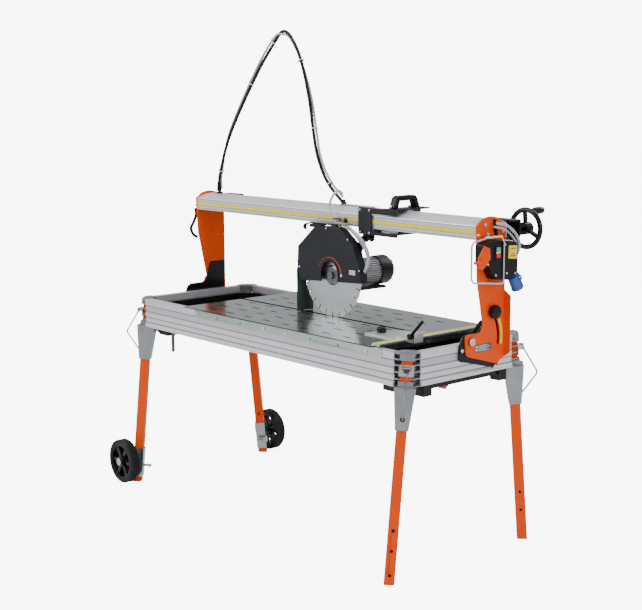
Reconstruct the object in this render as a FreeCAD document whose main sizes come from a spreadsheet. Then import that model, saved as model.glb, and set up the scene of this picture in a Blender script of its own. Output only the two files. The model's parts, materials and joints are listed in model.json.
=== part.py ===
import FreeCAD, Part
import math
import os
from types import SimpleNamespace

# Wet tile saw on plug-in legs. Units are mm.
# X runs along the cut (switch box at +X), -Y is the operator's side, Z is up, the floor is z = 0.
# The blade plane, the slot in the table and the tilt axis all lie on y = 0.

doc = FreeCAD.newDocument("wet_tile_saw")
Vector = FreeCAD.Vector
Rotation = FreeCAD.Rotation
Placement = FreeCAD.Placement

# ---------------------------------------------------------------- driving dimensions

DIMENSIONS = dict(
    # side frame
    rail_half_length=706,
    rail_face_y=279,
    rail_width=28,
    rail_bottom=630,
    rail_top=739,
    end_rail_face_x=762,
    end_rail_half_length=215,
    # legs and their sockets
    leg_x=733,
    leg_foot_y=321,
    leg_splay=6.01,
    leg_side=35,
    leg_wall=3,
    leg_top=730,
    leg_fit=0.1,
    socket_bottom=497,
    socket_top=634,
    socket_side_bottom=43,
    socket_side_top=70,
    collar_side=48,
    latch_pivot_height=694,
    latch_pivot_out=35,
    latch_pin_height=535,
    latch_wire=2.2,
    # transport wheels
    wheel_x=-747,
    wheel_radius=87,
    wheel_width=44,
    wheel_inner_y=349,
    axle_radius=8,
    # tub and table
    tub_bottom=621,
    tub_top=712,
    tub_wall=3,
    table_left=-440,
    table_right=600,
    table_thickness=3,
    kerf_half=8,
    slot_length=45,
    slot_width=8,
    slot_pitch=107.5,
    strip_thickness=2,
    strip_height=27,
    crossbar_width=30,
    crossbar_height=25,
    # fence and angle guide
    fence_left=590,
    fence_width=35,
    fence_height=8,
    # tilting bridge
    pivot_height=745,
    pivot_radius=12,
    lock_y=98.8,
    lock_height=834,
    bracket_thickness=6,
    plate_gap=0.2,
    tower_thickness=5,
    tower_back=160,
    beam_front=24,
    beam_depth=146,
    beam_bottom=1072,
    beam_shoulder=1120,
    beam_top=1136,
    beam_wall=4,
    # belt drive
    pulley_x=738,
    pulley_height=1088,
    pulley_radius=25,
    belt_y=188.5,
    belt_width=11,
    handwheel_y=300,
    handwheel_radius=71,
    handwheel_rim=8.5,
    shaft_radius=8,
    running_fit=0.05,
    # switch box
    box_depth=39,
    button_width=18,
    button_height=14,
    wire_frame_x=816,
    wire_radius=3,
    # carriage
    carriage_left=218,
    carriage_right=412,
    carriage_front=15,
    carriage_plate=6,
    # cutting head
    hinge_x=243,
    hinge_height=1034,
    hinge_radius=6,
    hub_x=100,
    hub_height=892,
    blade_radius=152.4,
    blade_thickness=2.6,
    spindle_radius=12.5,
    guard_front=-22,
    guard_depth=35,
    guard_wall=2.5,
    motor_front=75,
    motor_length=124,
    motor_radius=43,
    fin_height=7,
    fan_cover_length=62,
)

dims = doc.addObject("Spreadsheet::Sheet", "dims")
for row, (alias, value) in enumerate(DIMENSIONS.items(), start=1):
    dims.set(f"A{row}", alias)
    dims.set(f"B{row}", str(value))
    dims.setAlias(f"B{row}", alias)
doc.recompute()
d = SimpleNamespace(**DIMENSIONS)

# ---------------------------------------------------------------- drawing helpers

NODES = {}
TURN = {
    "X": Rotation(Vector(0, 1, 0), 90),
    "Y": Rotation(Vector(1, 0, 0), -90),
    "Z": Rotation(),
}
PLANE = {
    "XY": (Rotation(), Vector(0, 0, 1)),
    "XZ": (Rotation(Vector(1, 0, 0), 90), Vector(0, 1, 0)),
    "YZ": (Rotation(0.5, 0.5, 0.5, 0.5), Vector(1, 0, 0)),
}


def assign(obj, name, value):
    """Give a property a number, or tie it to the sheet when the value is a formula."""
    if isinstance(value, str):
        obj.setExpression(name, value)
    else:
        setattr(obj, name, value)


def put(obj, at, turn=None):
    """Place an object; any coordinate may be a formula."""
    numbers = [0 if isinstance(c, str) else c for c in at]
    obj.Placement = Placement(Vector(*numbers), turn or Rotation())
    for letter, c in zip("xyz", at):
        if isinstance(c, str):
            obj.setExpression(f".Placement.Base.{letter}", c)
    return obj


def box(at, size):
    """A block with its lowest corner at a point."""
    obj = doc.addObject("Part::Box", "block")
    for name, value in zip(("Length", "Width", "Height"), size):
        assign(obj, name, value)
    return put(obj, at)


def rod(at, axis, radius, length):
    """A cylinder from a point along a named axis or a direction."""
    obj = doc.addObject("Part::Cylinder", "rod")
    assign(obj, "Radius", radius)
    assign(obj, "Height", length)
    turn = TURN[axis] if isinstance(axis, str) else Rotation(Vector(0, 0, 1), Vector(*axis))
    return put(obj, at, turn)


def draw(sketch, path):
    """Draw one closed outline: (u, v) is a straight run, (um, vm, u, v) an arc through its middle."""
    here = Vector(path[0][0], path[0][1], 0)
    for step in list(path[1:]) + [path[0]]:
        there = Vector(step[-2], step[-1], 0)
        if (there - here).Length < 1e-6:
            continue
        if len(step) == 4:
            middle = Vector(step[0], step[1], 0)
            sketch.addGeometry(Part.Arc(here, middle, there))
        else:
            sketch.addGeometry(Part.LineSegment(here, there))
        here = there


def prism(plane, start, depth, outline, holes=(), circles=()):
    """Extrude an outline with inner outlines and round holes (u, v, r), along the plane's normal."""
    turn, normal = PLANE[plane]
    sketch = doc.addObject("Sketcher::SketchObject", "outline")
    draw(sketch, outline)
    for path in holes:
        draw(sketch, path)
    for u, v, r in circles:
        sketch.addGeometry(Part.Circle(Vector(u, v, 0), Vector(0, 0, 1), r))
    at = {"XY": (0, 0, start), "XZ": (0, start, 0), "YZ": (start, 0, 0)}[plane]
    put(sketch, at, turn)
    obj = doc.addObject("Part::Extrusion", "prism")
    obj.Base = sketch
    obj.DirMode = "Custom"
    obj.Dir = normal
    obj.Solid = True
    obj.FaceMakerClass = "Part::FaceMakerBullseye"
    assign(obj, "LengthFwd", depth)
    return obj


def turned(at, axis, profile):
    """Spin a profile of (radius, height) points, and place its axis."""
    sketch = doc.addObject("Sketcher::SketchObject", "profile")
    draw(sketch, profile)
    sketch.Placement = Placement(Vector(), PLANE["XZ"][0])
    obj = doc.addObject("Part::Revolution", "turned")
    obj.Source = sketch
    obj.Axis = Vector(0, 0, 1)
    obj.Base = Vector(0, 0, 0)
    obj.Angle = 360
    obj.Solid = True
    turn = TURN[axis] if isinstance(axis, str) else Rotation(Vector(0, 0, 1), Vector(*axis))
    return put(obj, at, turn)


def fuse(*parts):
    """Join parts into one solid."""
    obj = doc.addObject("Part::MultiFuse", "joined")
    obj.Shapes = list(parts)
    obj.Refine = True
    return obj


def together(*parts):
    """Keep parts as separate solids of one group."""
    obj = doc.addObject("Part::Compound", "group")
    obj.Links = list(parts)
    return obj


def minus(base, *tools):
    obj = doc.addObject("Part::Cut", "cut")
    obj.Base = base
    obj.Tool = tools[0] if len(tools) == 1 else together(*tools)
    return obj


def mirrored(source, normal):
    obj = doc.addObject("Part::Mirroring", "mirrored")
    obj.Source = source
    obj.Normal = normal
    obj.Base = Vector(0, 0, 0)
    return obj


def both_ends(obj):
    """The part and its mirror image at the other end of the saw."""
    return together(obj, mirrored(obj, Vector(1, 0, 0)))


def both_sides(obj):
    """The part and its mirror image on the other long side."""
    return together(obj, mirrored(obj, Vector(0, 1, 0)))


def wire(points, radius):
    """A bent round wire through points, with a ball at every bend."""
    pieces = []
    for start, end in zip(points, points[1:]):
        run = Vector(*end) - Vector(*start)
        pieces.append(rod(start, tuple(run), radius, run.Length))
    for corner in points[1:-1]:
        ball = doc.addObject("Part::Sphere", "bend")
        assign(ball, "Radius", radius)
        pieces.append(put(ball, corner))
    return fuse(*pieces)


def node(name, obj):
    obj.Label = name
    NODES[name] = obj
    return obj


def polar(u, v, radius, degrees):
    a = math.radians(degrees)
    return (u + radius * math.cos(a), v + radius * math.sin(a))


def inset(points, amounts):
    """Move each edge of a convex outline inwards by its own amount."""
    count = len(points)
    lines = []
    for i in range(count):
        (x0, y0), (x1, y1) = points[i], points[(i + 1) % count]
        length = math.hypot(x1 - x0, y1 - y0)
        nx, ny = (y1 - y0) / length, -(x1 - x0) / length
        lines.append((nx, ny, nx * x0 + ny * y0 + amounts[i]))
    moved = []
    for i in range(count):
        a0, b0, c0 = lines[i - 1]
        a1, b1, c1 = lines[i]
        det = a0 * b1 - a1 * b0
        moved.append(((c0 * b1 - c1 * b0) / det, (a0 * c1 - a1 * c0) / det))
    return moved


def hexagon(u, v, across_flats):
    reach = across_flats / 2 / math.cos(math.radians(30))
    return [polar(u, v, reach, 60 * i) for i in range(6)]


# ---------------------------------------------------------------- side frame


def rail_profile(face, sign):
    """Grooved hollow rail section: outline and chambers, outer face at `face`, body towards -sign."""
    inner = face - sign * d.rail_width
    step = face - sign * 1.6
    groove = face - sign * 3.2
    outline = [(inner, d.rail_bottom), (inner, d.rail_top), (face, d.rail_top)]
    for z, above, below in ((714, face, step), (690, step, face), (668, face, step), (648, step, face)):
        outline += [(above, z + 2), (groove, z + 2), (groove, z - 2), (below, z - 2)]
    outline += [(face, 644), (face + sign * 3, 641), (face + sign * 3, d.rail_bottom)]
    chambers = []
    for low, high in ((633, 654), (658, 676), (680, 698), (702, 717), (721, 736)):
        a = face - sign * 5.5
        b = inner + sign * 3
        chambers.append([(a, low), (b, low), (b, high), (a, high)])
    return outline, chambers


# bolt holes for accessories in the top of the long rails
ACCESSORY_HOLES = (-225, -84, 304, 445)


def make_rails():
    outline, chambers = rail_profile(-d.rail_face_y, -1)
    bar = prism("YZ", "-dims.rail_half_length", "2 * dims.rail_half_length", outline, chambers)
    drills = [rod((x, -d.rail_face_y - 4, 724), "Y", 3.5, 40) for x in ACCESSORY_HOLES]
    node("long_rails", both_sides(minus(bar, *drills)))
    outline, chambers = rail_profile(d.end_rail_face_x, 1)
    right = prism("XZ", "-dims.end_rail_half_length", "2 * dims.end_rail_half_length", outline, chambers)
    node("end_rails", both_ends(right))


CORNERS = {
    "front_left": (-1, -1),
    "front_right": (1, -1),
    "back_left": (-1, 1),
    "back_right": (1, 1),
}


def corner_frame(sx, sy):
    """Leg frame: origin at the foot, Z up the splayed leg, X outwards along the corner diagonal."""
    diagonal = math.degrees(math.atan2(sy, sx))
    lean = Rotation(Vector(1, 0, 0), sy * d.leg_splay)
    turn = lean.multiply(Rotation(Vector(0, 0, 1), diagonal))
    return Placement(Vector(sx * d.leg_x, sy * d.leg_foot_y, 0), turn)


def square_block(side, low, high):
    """A square block centred on the leg axis; its faces look along the leg frame's X and Y."""
    if isinstance(side, str):
        return box((f"-({side}) / 2", f"-({side}) / 2", low), (side, side, high - low))
    return box((-side / 2, -side / 2, low), (side, side, high - low))


def square_sketch(side, height):
    sketch = doc.addObject("Sketcher::SketchObject", "square")
    h = side / 2
    draw(sketch, [(-h, -h), (h, -h), (h, h), (-h, h)])
    sketch.Placement = Placement(Vector(0, 0, height), Rotation())
    return sketch


def corner_outline(sx, sy):
    """Plan of the corner between two rail ends, cut back to the leg's outer face."""
    quarter = [(706, 279), (727, 279), (762, 244), (762, 215), (734, 215), (734, 210), (706, 238)]
    return [(sx * x, sy * y) for x, y in quarter]


# levels of the thin shelves between the rail ends: underside and thickness
SHELVES = ((630, 3), (654, 4), (676, 4), (698, 4), (717, 4), (736, 6))


def make_casting(sx, sy):
    """Socket casting: tapered sleeve, two collars, and shelves joining the leg to both rail ends."""
    sleeve = doc.addObject("Part::Loft", "sleeve")
    sleeve.Sections = [
        square_sketch(d.socket_side_bottom, d.socket_bottom),
        square_sketch(d.socket_side_top, d.socket_top),
    ]
    sleeve.Solid = True
    sleeve.Ruled = True
    low_collar = square_block("dims.collar_side", d.socket_top - 2, d.socket_top + 18)
    high_collar = square_block("dims.collar_side", 718, 742)
    leg_part = fuse(sleeve, low_collar, high_collar)
    leg_part.Placement = corner_frame(sx, sy)
    shelves = [prism("XY", low, thick, corner_outline(sx, sy)) for low, thick in SHELVES]
    wall = [(706, 238), (734, 210), (737, 213), (709, 241)]
    web = prism("XY", "dims.rail_bottom", 112, [(sx * x, sy * y) for x, y in wall])
    body = fuse(leg_part, web, *shelves)
    hole = square_block("dims.leg_side + 2 * dims.leg_fit", 480, 736)
    pin_hole = rod((10, 0, "dims.latch_pin_height"), "X", 4, 40)
    face_gap = box((18, -60, d.socket_top + 18), (60, 120, 66))
    bored = fuse(hole, pin_hole, face_gap)
    bored.Placement = corner_frame(sx, sy)
    long_x = 0 if sx > 0 else -d.rail_half_length
    long_y = 250 if sy > 0 else -290
    long_rail = box((long_x, long_y, 629.9), ("dims.rail_half_length", 40, 130))
    end_x = 732 if sx > 0 else -772
    end_y = 0 if sy > 0 else -d.end_rail_half_length
    end_rail = box((end_x, end_y, 629.9), (40, "dims.end_rail_half_length", 130))
    return minus(body, fuse(bored, long_rail, end_rail))


def make_clip(sx, sy):
    """Latch clip: a plate across the leg's outer face, with two lugs for the wire's axle."""
    plate = box((18.02, -24, 668), (3, 48, 36))
    lugs = [box((21, y, "dims.latch_pivot_height - 7"), (20, 4, 14)) for y in (-20, 16)]
    bore_at = ("dims.latch_pivot_out", -26, "dims.latch_pivot_height")
    bore = rod(bore_at, "Y", "3 + dims.running_fit", 52)
    clip = minus(fuse(plate, *lugs), bore)
    clip.Placement = corner_frame(sx, sy)
    return clip


def make_latch(sx, sy):
    """Spring-wire latch: axle in the clip, an outward V, and a pin that enters the socket."""
    out, high = d.latch_pivot_out, d.latch_pivot_height
    arm = wire(
        [
            (out, 0, high),
            (out + 44, 0, high - 88),
            (out + 42, 0, high - 100),
            (out - 6, 0, d.latch_pin_height),
            (18.6, 0, d.latch_pin_height),
        ],
        "dims.latch_wire",
    )
    axle = rod(("dims.latch_pivot_out", -21, "dims.latch_pivot_height"), "Y", 3, 42)
    struts = [rod((out, y, high), (11, -y, -22), "dims.latch_wire", 26) for y in (-10, 10)]
    latch = fuse(arm, axle, *struts)
    latch.Placement = corner_frame(sx, sy)
    return latch


def make_leg(sx, sy):
    """Square tube leg, cut level at the floor, with two adjuster holes and the latch hole."""
    tube = square_block("dims.leg_side", -6, d.leg_top)
    bore = square_block("dims.leg_side - 2 * dims.leg_wall", -8, d.leg_top + 2)
    holes = [rod((-25, 0, z), "X", r, 50) for z, r in ((30, 5), (175, 5))]
    holes.append(rod((0, 0, "dims.latch_pin_height"), "X", 4, 25))
    leg = minus(tube, fuse(bore, *holes))
    leg.Placement = corner_frame(sx, sy)
    floor = box((sx * d.leg_x - 60, sy * d.leg_foot_y - 60, -40), (120, 120, 40))
    return minus(leg, floor)


def make_wheel_bracket():
    """Back sleeve clamped round the leg, with a wing screw inside and the wheel's axle outside."""
    sleeve = square_block(41, 22, 136)
    screw = rod((-44, 0, 66), "X", 5, 24)
    wing = box((-50, -16, 62), (6, 32, 8))
    clamp = fuse(sleeve, screw, wing)
    clamp.Placement = corner_frame(-1, 1)
    height = "dims.wheel_radius + 2"
    length = d.wheel_inner_y + d.wheel_width + 6 - 324
    axle = rod(("dims.wheel_x", 324, height), "Y", "dims.axle_radius", length)
    collar = rod(("dims.wheel_x", "dims.wheel_inner_y - 9", height), "Y", 12, 8)
    cap = rod(("dims.wheel_x", "dims.wheel_inner_y + dims.wheel_width + 1", height), "Y", 15, 5)
    leg_void = together(square_block("dims.leg_side + 0.02", -10, 200))
    leg_void.Placement = corner_frame(-1, 1)
    return minus(fuse(clamp, axle, collar, cap), leg_void)


def make_wheel(sy):
    """Spoked plastic rim and a ribbed tyre, both turning on the axle."""
    r = d.wheel_radius
    w = d.wheel_width
    y0 = d.wheel_inner_y if sy > 0 else -(d.wheel_inner_y + w)
    centre = (d.wheel_x, y0, r + 2)
    rim = turned(centre, "Y", [(62, 5), (68, 5), (68, w - 5), (62, w - 5)])
    hub = turned(centre, "Y", [(0.001, 2), (22, 2), (22, w - 2), (0.001, w - 2)])
    spokes = []
    for i in range(6):
        spoke = box((10, -7, 9), (54, 14, w - 18))
        spoke.Placement = Placement(Vector(), Rotation(Vector(0, 0, 1), 60 * i)).multiply(spoke.Placement)
        spokes.append(spoke)
    star = fuse(*spokes)
    put(star, centre, TURN["Y"])
    bore = rod((centre[0], y0 - 1, centre[2]), "Y", "dims.axle_radius + dims.running_fit", w + 2)
    rim_part = minus(fuse(rim, hub, star), bore)
    tread = [(68.02, 3), (78, 2), (r - 2, 5)]
    for i in range(5):
        y = 6 + i * (w - 12) / 5
        tread += [(r, y), (r, y + 4.4), (r - 2, y + 4.8), (r - 2, y + 5.6)]
    tread += [(r - 2, w - 5), (78, w - 2), (68.02, w - 3)]
    tyre = turned(centre, "Y", tread)
    return rim_part, tyre


def make_corners():
    castings = []
    clips = []
    for name, (sx, sy) in CORNERS.items():
        castings.append(make_casting(sx, sy))
        clips.append(make_clip(sx, sy))
        node(f"leg_{name}", make_leg(sx, sy))
        node(f"latch_{name}", make_latch(sx, sy))
    node("corner_castings", together(*castings))
    node("latch_clips", together(*clips))
    for side, sy in (("front", -1), ("back", 1)):
        bracket = make_wheel_bracket()
        node(f"wheel_bracket_{side}", bracket if sy > 0 else mirrored(bracket, Vector(0, 1, 0)))
        rim, tyre = make_wheel(sy)
        node(f"wheel_rim_{side}", rim)
        node(f"wheel_tyre_{side}", tyre)


# ---------------------------------------------------------------- tub and table


def make_tub():
    """Water tub with clipped corners, drain spout, feet, end lips and blocks, and its pump."""
    right = [(668, -249), (730, -188), (730, 188), (668, 249)]
    outer = right[1:] + [(-x, -y) for x, y in right] + right[:1]
    inner = inset(outer, [-d.tub_wall] * 8)
    shell = prism("XY", "dims.tub_bottom", "dims.tub_top - dims.tub_bottom", outer)
    hollow = prism("XY", "dims.tub_bottom + dims.tub_wall", 150, inner)
    spout = rod((650, 0, "dims.tub_bottom - 29"), "Z", 18, 31)
    pads = [box((x, y, "dims.tub_bottom - 23"), (62, 46, 25)) for x in (614, -676) for y in (-238, 192)]
    lips = [box((x, -156, 611), (36, 312, 18.9)) for x in (714, -750)]
    blocks = [box((x, y, 590), (40, 38, 39.9)) for x in (716, -756) for y in (-196, 158)]
    solid = minus(fuse(shell, spout, *pads, *lips, *blocks), hollow)
    drain = rod((650, 0, 560), "Z", 12, 80)
    node("water_tub", minus(solid, drain))
    stem = rod((650, 0, "dims.tub_bottom - 29"), "Z", "12 - dims.running_fit", 30)
    cap = rod((650, 0, "dims.tub_bottom - 43"), "Z", 19, 14)
    grip = box((634, -3, "dims.tub_bottom - 51"), (32, 6, 10))
    node("drain_plug", fuse(stem, cap, grip))
    pump = box((-640, 90, "dims.tub_bottom + dims.tub_wall"), (90, 70, 62))
    outlet = rod((-595, 125, 660), "Z", 9, 26)
    node("water_pump", fuse(pump, outlet))


def slot_outline(x, y):
    a = d.slot_length / 2 - d.slot_width / 2
    r = d.slot_width / 2
    right_end = (x + a + r, y, x + a, y + r)
    left_end = (x - a - r, y, x - a, y - r)
    return [(x - a, y - r), (x + a, y - r), right_end, (x - a, y + r), left_end]


def table_plate(y_near, y_far, rows):
    holes = []
    for y, shift in rows:
        for i in range(8):
            holes.append(slot_outline(-337 + shift + i * d.slot_pitch, y))
    left, right = d.table_left, d.table_right
    outline = [(left, y_near), (right, y_near), (right, y_far), (left, y_far)]
    return prism("XY", "dims.rail_top", "dims.table_thickness", outline, holes)


def make_table():
    y = d.rail_face_y
    front = table_plate(-y, -d.kerf_half, [(-231, 20), (-158, 0), (-96, 0), (-31, 0)])
    back = table_plate(d.kerf_half, y, [(74, 0), (133, 0), (205, 20)])
    node("table_plates", together(front, back))
    strips = []
    for x0, x1, holes in ((-367, 109.5, ACCESSORY_HOLES[:2]), (110.5, 655, ACCESSORY_HOLES[2:])):
        top = d.rail_top
        low = top - d.strip_height
        outline = [(x0, low), (x1, low), (x1, top), (x0, top)]
        circles = [(x, 724, 3.5) for x in holes]
        start = "-dims.rail_face_y - dims.strip_thickness"
        strips.append(prism("XZ", start, "dims.strip_thickness", outline, circles=circles))
    node("table_edge_strips", both_sides(together(*strips)))
    bars = []
    for x in (-425, -170, 85, 330, 560):
        size = ("dims.crossbar_width", 501.6, "dims.crossbar_height")
        bar = box((x, -250.8, "dims.rail_top - dims.crossbar_height"), size)
        notch = box((x - 5, -15, "dims.rail_top - 19"), (60, 30, 30))
        bars.append(minus(bar, notch))
    node("table_crossbars", together(*bars))


def make_fence():
    """Fence bar across the table and the sliding angle guide clamped on it."""
    size = ("dims.fence_width", 515, "dims.fence_height")
    node("fence_bar", box(("dims.fence_left", -265, "dims.rail_top + dims.table_thickness"), size))
    top = d.rail_top + d.table_thickness
    sector = [(582, -150), (582, -14), (500, -14), (448, -60, 432, -150)]
    plate = prism("XY", top + 0.2, 4, sector)
    step = box((580, -150, top + 0.2), (8, 136, 14))
    tongue = box((580, -150, top + d.fence_height + 0.2), (88, 40, 6))
    block = box((626, -150, top + 2), (42, 40, 31))
    knob_post = rod((462, -100, top + 2), "Z", 5, 14)
    lever_bore = rod((656, -160, top + 24), "Y", "5 + dims.running_fit", 80)
    node("angle_guide", minus(fuse(plate, step, tongue, block, knob_post), lever_bore))
    profile = [(0.001, 0), (15, 0), (17, 4), (17, 12), (13, 17), (0.001, 18)]
    knob = turned((462, -100, top + 5), "Z", profile)
    knob_bore = rod((462, -100, top), "Z", "5 + dims.running_fit", 16.1)
    node("guide_knob", minus(knob, knob_bore))
    shaft = rod((656, -163, top + 24), "Y", 5, 57)
    arm = rod((656, -157.5, top + 24), (65, -10, 59), 5, 88)
    eye = rod((656, -163, top + 24), "Y", 10, 11)
    node("fence_lever", fuse(shaft, arm, eye))


def make_frame_screws():
    heads = []
    for x in (-352, 51, 176, 581):
        heads.append(rod((x, "-dims.rail_face_y - dims.strip_thickness - 3", 724), "Y", 6, 3))
    strip_screws = both_sides(together(*heads))
    bolts = []
    for y, z in ((-37, 720), (121, 648)):
        bolts.append(prism("YZ", d.end_rail_face_x + d.bracket_thickness, 5, hexagon(y, z, 12)))
    pivot_nut = prism("YZ", d.end_rail_face_x + d.bracket_thickness + 8, 8, hexagon(0, d.pivot_height, 24))
    bolts.append(pivot_nut)
    node("frame_screws", together(strip_screws, both_ends(together(*bolts))))


# ---------------------------------------------------------------- tilting bridge


def make_tilt_bracket():
    """Fixed black plate on the end rail: carries the tilt pivot and the lock stud."""
    outline = [
        (-47, 732),
        (-47, 702),
        (-42, 686, -28, 681),
        (112, 645),
        (128, 647),
        (152, 668),
        (152, 852),
        (84, 852),
        (56, 775),
        (30, 768),
        (-16, 768),
        (-34, 762),
    ]
    stud = (d.lock_y, d.lock_height, 5 + d.running_fit)
    plate = prism("YZ", "dims.end_rail_face_x", "dims.bracket_thickness", outline, circles=[stud])
    boss_at = ("dims.end_rail_face_x", 0, "dims.pivot_height")
    boss = rod(boss_at, "X", "dims.pivot_radius", "dims.bracket_thickness + 8")
    return fuse(plate, boss)


def arc_slot(radius, half, low, high):
    """Banana slot about the tilt pivot, from angle low to high."""
    y0, z0 = 0, d.pivot_height
    mid = (low + high) / 2
    return [
        polar(y0, z0, radius + half, low),
        polar(y0, z0, radius + half, mid) + polar(y0, z0, radius + half, high),
        polar(*polar(y0, z0, radius, high), half, high + 90) + polar(y0, z0, radius - half, high),
        polar(y0, z0, radius - half, mid) + polar(y0, z0, radius - half, low),
        polar(*polar(y0, z0, radius, low), half, low - 90) + polar(y0, z0, radius + half, low),
    ]


def tower(front_edge):
    """End plate of the bridge with its tilt slot and an outward flange down its back edge."""
    outline = front_edge + [
        (46, 1137),
        (85, 1145, 124, 1137),
        (d.tower_back, 1114),
        (d.tower_back, 676),
        (125, 657),
        (-2, 694),
        (-17, 702, -23, 716),
        (-25, 752),
        (-21, 765, -10, 768),
        (40, 769),
        (50, 773, 55, 784),
    ]
    radius = math.hypot(d.lock_y, d.lock_height - d.pivot_height)
    slot = arc_slot(radius, 6, -8, 45)
    pivot = (0, d.pivot_height, d.pivot_radius + d.running_fit)
    start = "dims.end_rail_face_x + dims.bracket_thickness + dims.plate_gap"
    plate = prism("YZ", start, "dims.tower_thickness", outline, [slot], [pivot])
    inner_face = d.end_rail_face_x + d.bracket_thickness + d.plate_gap
    x0 = inner_face + 2
    fold = [(x0, 676), (x0 + 8, 678), (x0 + 31, 694), (x0 + 31, 882), (x0, 902)]
    flange = prism("XZ", d.tower_back - 4, 4, fold)
    return fuse(plate, flange)


def make_towers():
    node("tilt_brackets", both_ends(make_tilt_bracket()))
    right = tower([(57, 797), (28, 942), (20, 1118)])
    left = mirrored(tower([(66, 794), (28, 978), (20, 1118)]), Vector(1, 0, 0))
    node("towers", together(right, left))
    knob_x = d.end_rail_face_x + d.bracket_thickness + d.plate_gap + d.tower_thickness + 1
    for end, mirror in (("right", False), ("left", True)):
        stud = rod(("dims.end_rail_face_x + 0.5", "dims.lock_y", "dims.lock_height"), "X", 5, 18)
        profile = [(0.001, 0), (9, 0), (9, 5), (21.8, 6), (22.8, 9), (22.8, 18), (20, 23), (0.001, 24)]
        grips = []
        for k in range(6):
            y, z = polar(d.lock_y, d.lock_height, 31, 60 * k + 30)
            grips.append(rod((knob_x + 1, y, z), "X", 10.5, 30))
        knob = minus(turned((knob_x, d.lock_y, d.lock_height), "X", profile), fuse(*grips))
        knob = fuse(stud, knob)
        node(f"tilt_knob_{end}", mirrored(knob, Vector(1, 0, 0)) if mirror else knob)


def beam_outline(shrink):
    """Beam section with a rounded crown; shrink gives the hollow inside."""
    front = d.beam_front + shrink
    back = d.beam_front + d.beam_depth - shrink
    low = d.beam_bottom + shrink
    shoulder = d.beam_shoulder - shrink * 0.4
    return [
        (front, low),
        (front, shoulder - 6),
        (front + 1.5, shoulder - 1.5, front + 6, shoulder),
        ((front + back) / 2, d.beam_top - shrink, back - 6, shoulder),
        (back - 1.5, shoulder - 1.5, back, shoulder - 6),
        (back, low),
    ]


def make_beam():
    reach = "(dims.end_rail_face_x + dims.bracket_thickness + dims.plate_gap)"
    beam = prism("YZ", f"-{reach}", f"2 * {reach}", beam_outline(0), [beam_outline(d.beam_wall)])
    node("beam", beam)
    x = d.end_rail_face_x + d.bracket_thickness + d.plate_gap + d.tower_thickness
    bolts = []
    for y, z in ((59, 1119), (27, 1088), (70, 1088), (142, 1094)):
        bolts.append(prism("YZ", x, 5, hexagon(y, z, 11)))
    node("bridge_bolts", both_ends(together(*bolts)))
    top = d.beam_top + 0.1
    stub = rod((-712, 97, top), "Z", 7, 13)
    base = rod((-712, 97, top), "Z", 14, 5)
    cable = wire([(x + 6, 108, 1074.5), (x + 6, 108, 1100), (x + 6, 100, 1120), (x + 6, 100, 1134)], 4.5)
    foot = box((x, 100, 1094), (6, 16, 8))
    node("cable_glands", together(fuse(stub, base), fuse(cable, foot)))


def stadium(radius):
    """Belt path round both pulleys in the XZ plane."""
    x, z = d.pulley_x, d.pulley_height
    return [
        (-x, z - radius),
        (x, z - radius),
        (x + radius, z, x, z + radius),
        (-x, z + radius),
        (-x - radius, z, -x, z - radius),
    ]


def make_belt_drive():
    inner = d.pulley_radius + d.running_fit
    belt = prism("XZ", "dims.belt_y", "dims.belt_width", stadium(inner + 2.4), [stadium(inner)])
    node("drive_belt", belt)
    hole = (d.pulley_x, d.pulley_height, d.shaft_radius + d.running_fit)
    outline = [(700, 1056), (776, 1056), (792, 1072), (792, 1128), (700, 1128)]
    plate = prism("XZ", 206, 6, outline, circles=[hole])
    roof = box((700, 170.2, 1122), (92, 38, 6))
    ear = box((700, 170, 1092), (8, 5, 20))
    riser = box((700, 170.2, 1110), (8, 5, 14))
    bracket = fuse(plate, roof, ear, riser)
    tower_void = box((768, 150, 1000), (10, 25, 130))
    node("pulley_brackets", both_ends(minus(bracket, tower_void)))
    low = d.belt_y - 2
    spin = (d.pulley_x, 0, d.pulley_height)
    groove = [(28, low + 1.6), (25, low + 1.8), (25, low + 13.4), (28, low + 13.6)]
    pulley = [(0.001, low), (28, low)] + groove + [(28, 202), (0.001, 202)]
    drum = turned((spin[0], 0, spin[2]), "Y", pulley)
    y = d.handwheel_y
    shaft = rod((spin[0], 200, spin[2]), "Y", "dims.shaft_radius", y + 12 - 200)
    hub = rod((spin[0], y - 16, spin[2]), "Y", 21, 32)
    ring = doc.addObject("Part::Torus", "rim")
    middle = d.handwheel_radius - d.handwheel_rim
    ring.Radius1 = middle
    ring.Radius2 = d.handwheel_rim
    put(ring, (spin[0], y, spin[2]), TURN["Y"])
    spokes = []
    for angle in (95, 215, 335):
        a = math.radians(angle)
        spokes.append(rod((spin[0], y, spin[2]), (math.cos(a), 0, math.sin(a)), 7.8, middle))
    a = math.radians(72)
    knob_x = spin[0] + (middle - 0.5) * math.cos(a)
    knob_z = spin[2] + (middle - 0.5) * math.sin(a)
    pin = rod((knob_x, y, knob_z), "Y", 4, 58)
    node("handwheel", fuse(drum, shaft, hub, ring, pin, *spokes))
    profile = [(0.001, 0), (8, 0), (11, 8), (13, 30), (11, 50), (6, 54), (0.001, 54)]
    grip = turned((knob_x, y + 10, knob_z), "Y", profile)
    grip_bore = rod((knob_x, y, knob_z), "Y", "4 + dims.running_fit", 58.1)
    node("crank_knob", minus(grip, grip_bore))
    idler_shaft = rod((-spin[0], 200, spin[2]), "Y", "dims.shaft_radius", 16)
    idler_drum = turned((-spin[0], 0, spin[2]), "Y", pulley)
    node("idler_pulley", fuse(idler_drum, idler_shaft))


# start button above, stop button below
BUTTON_HEIGHTS = (1042, 1021)


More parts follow.
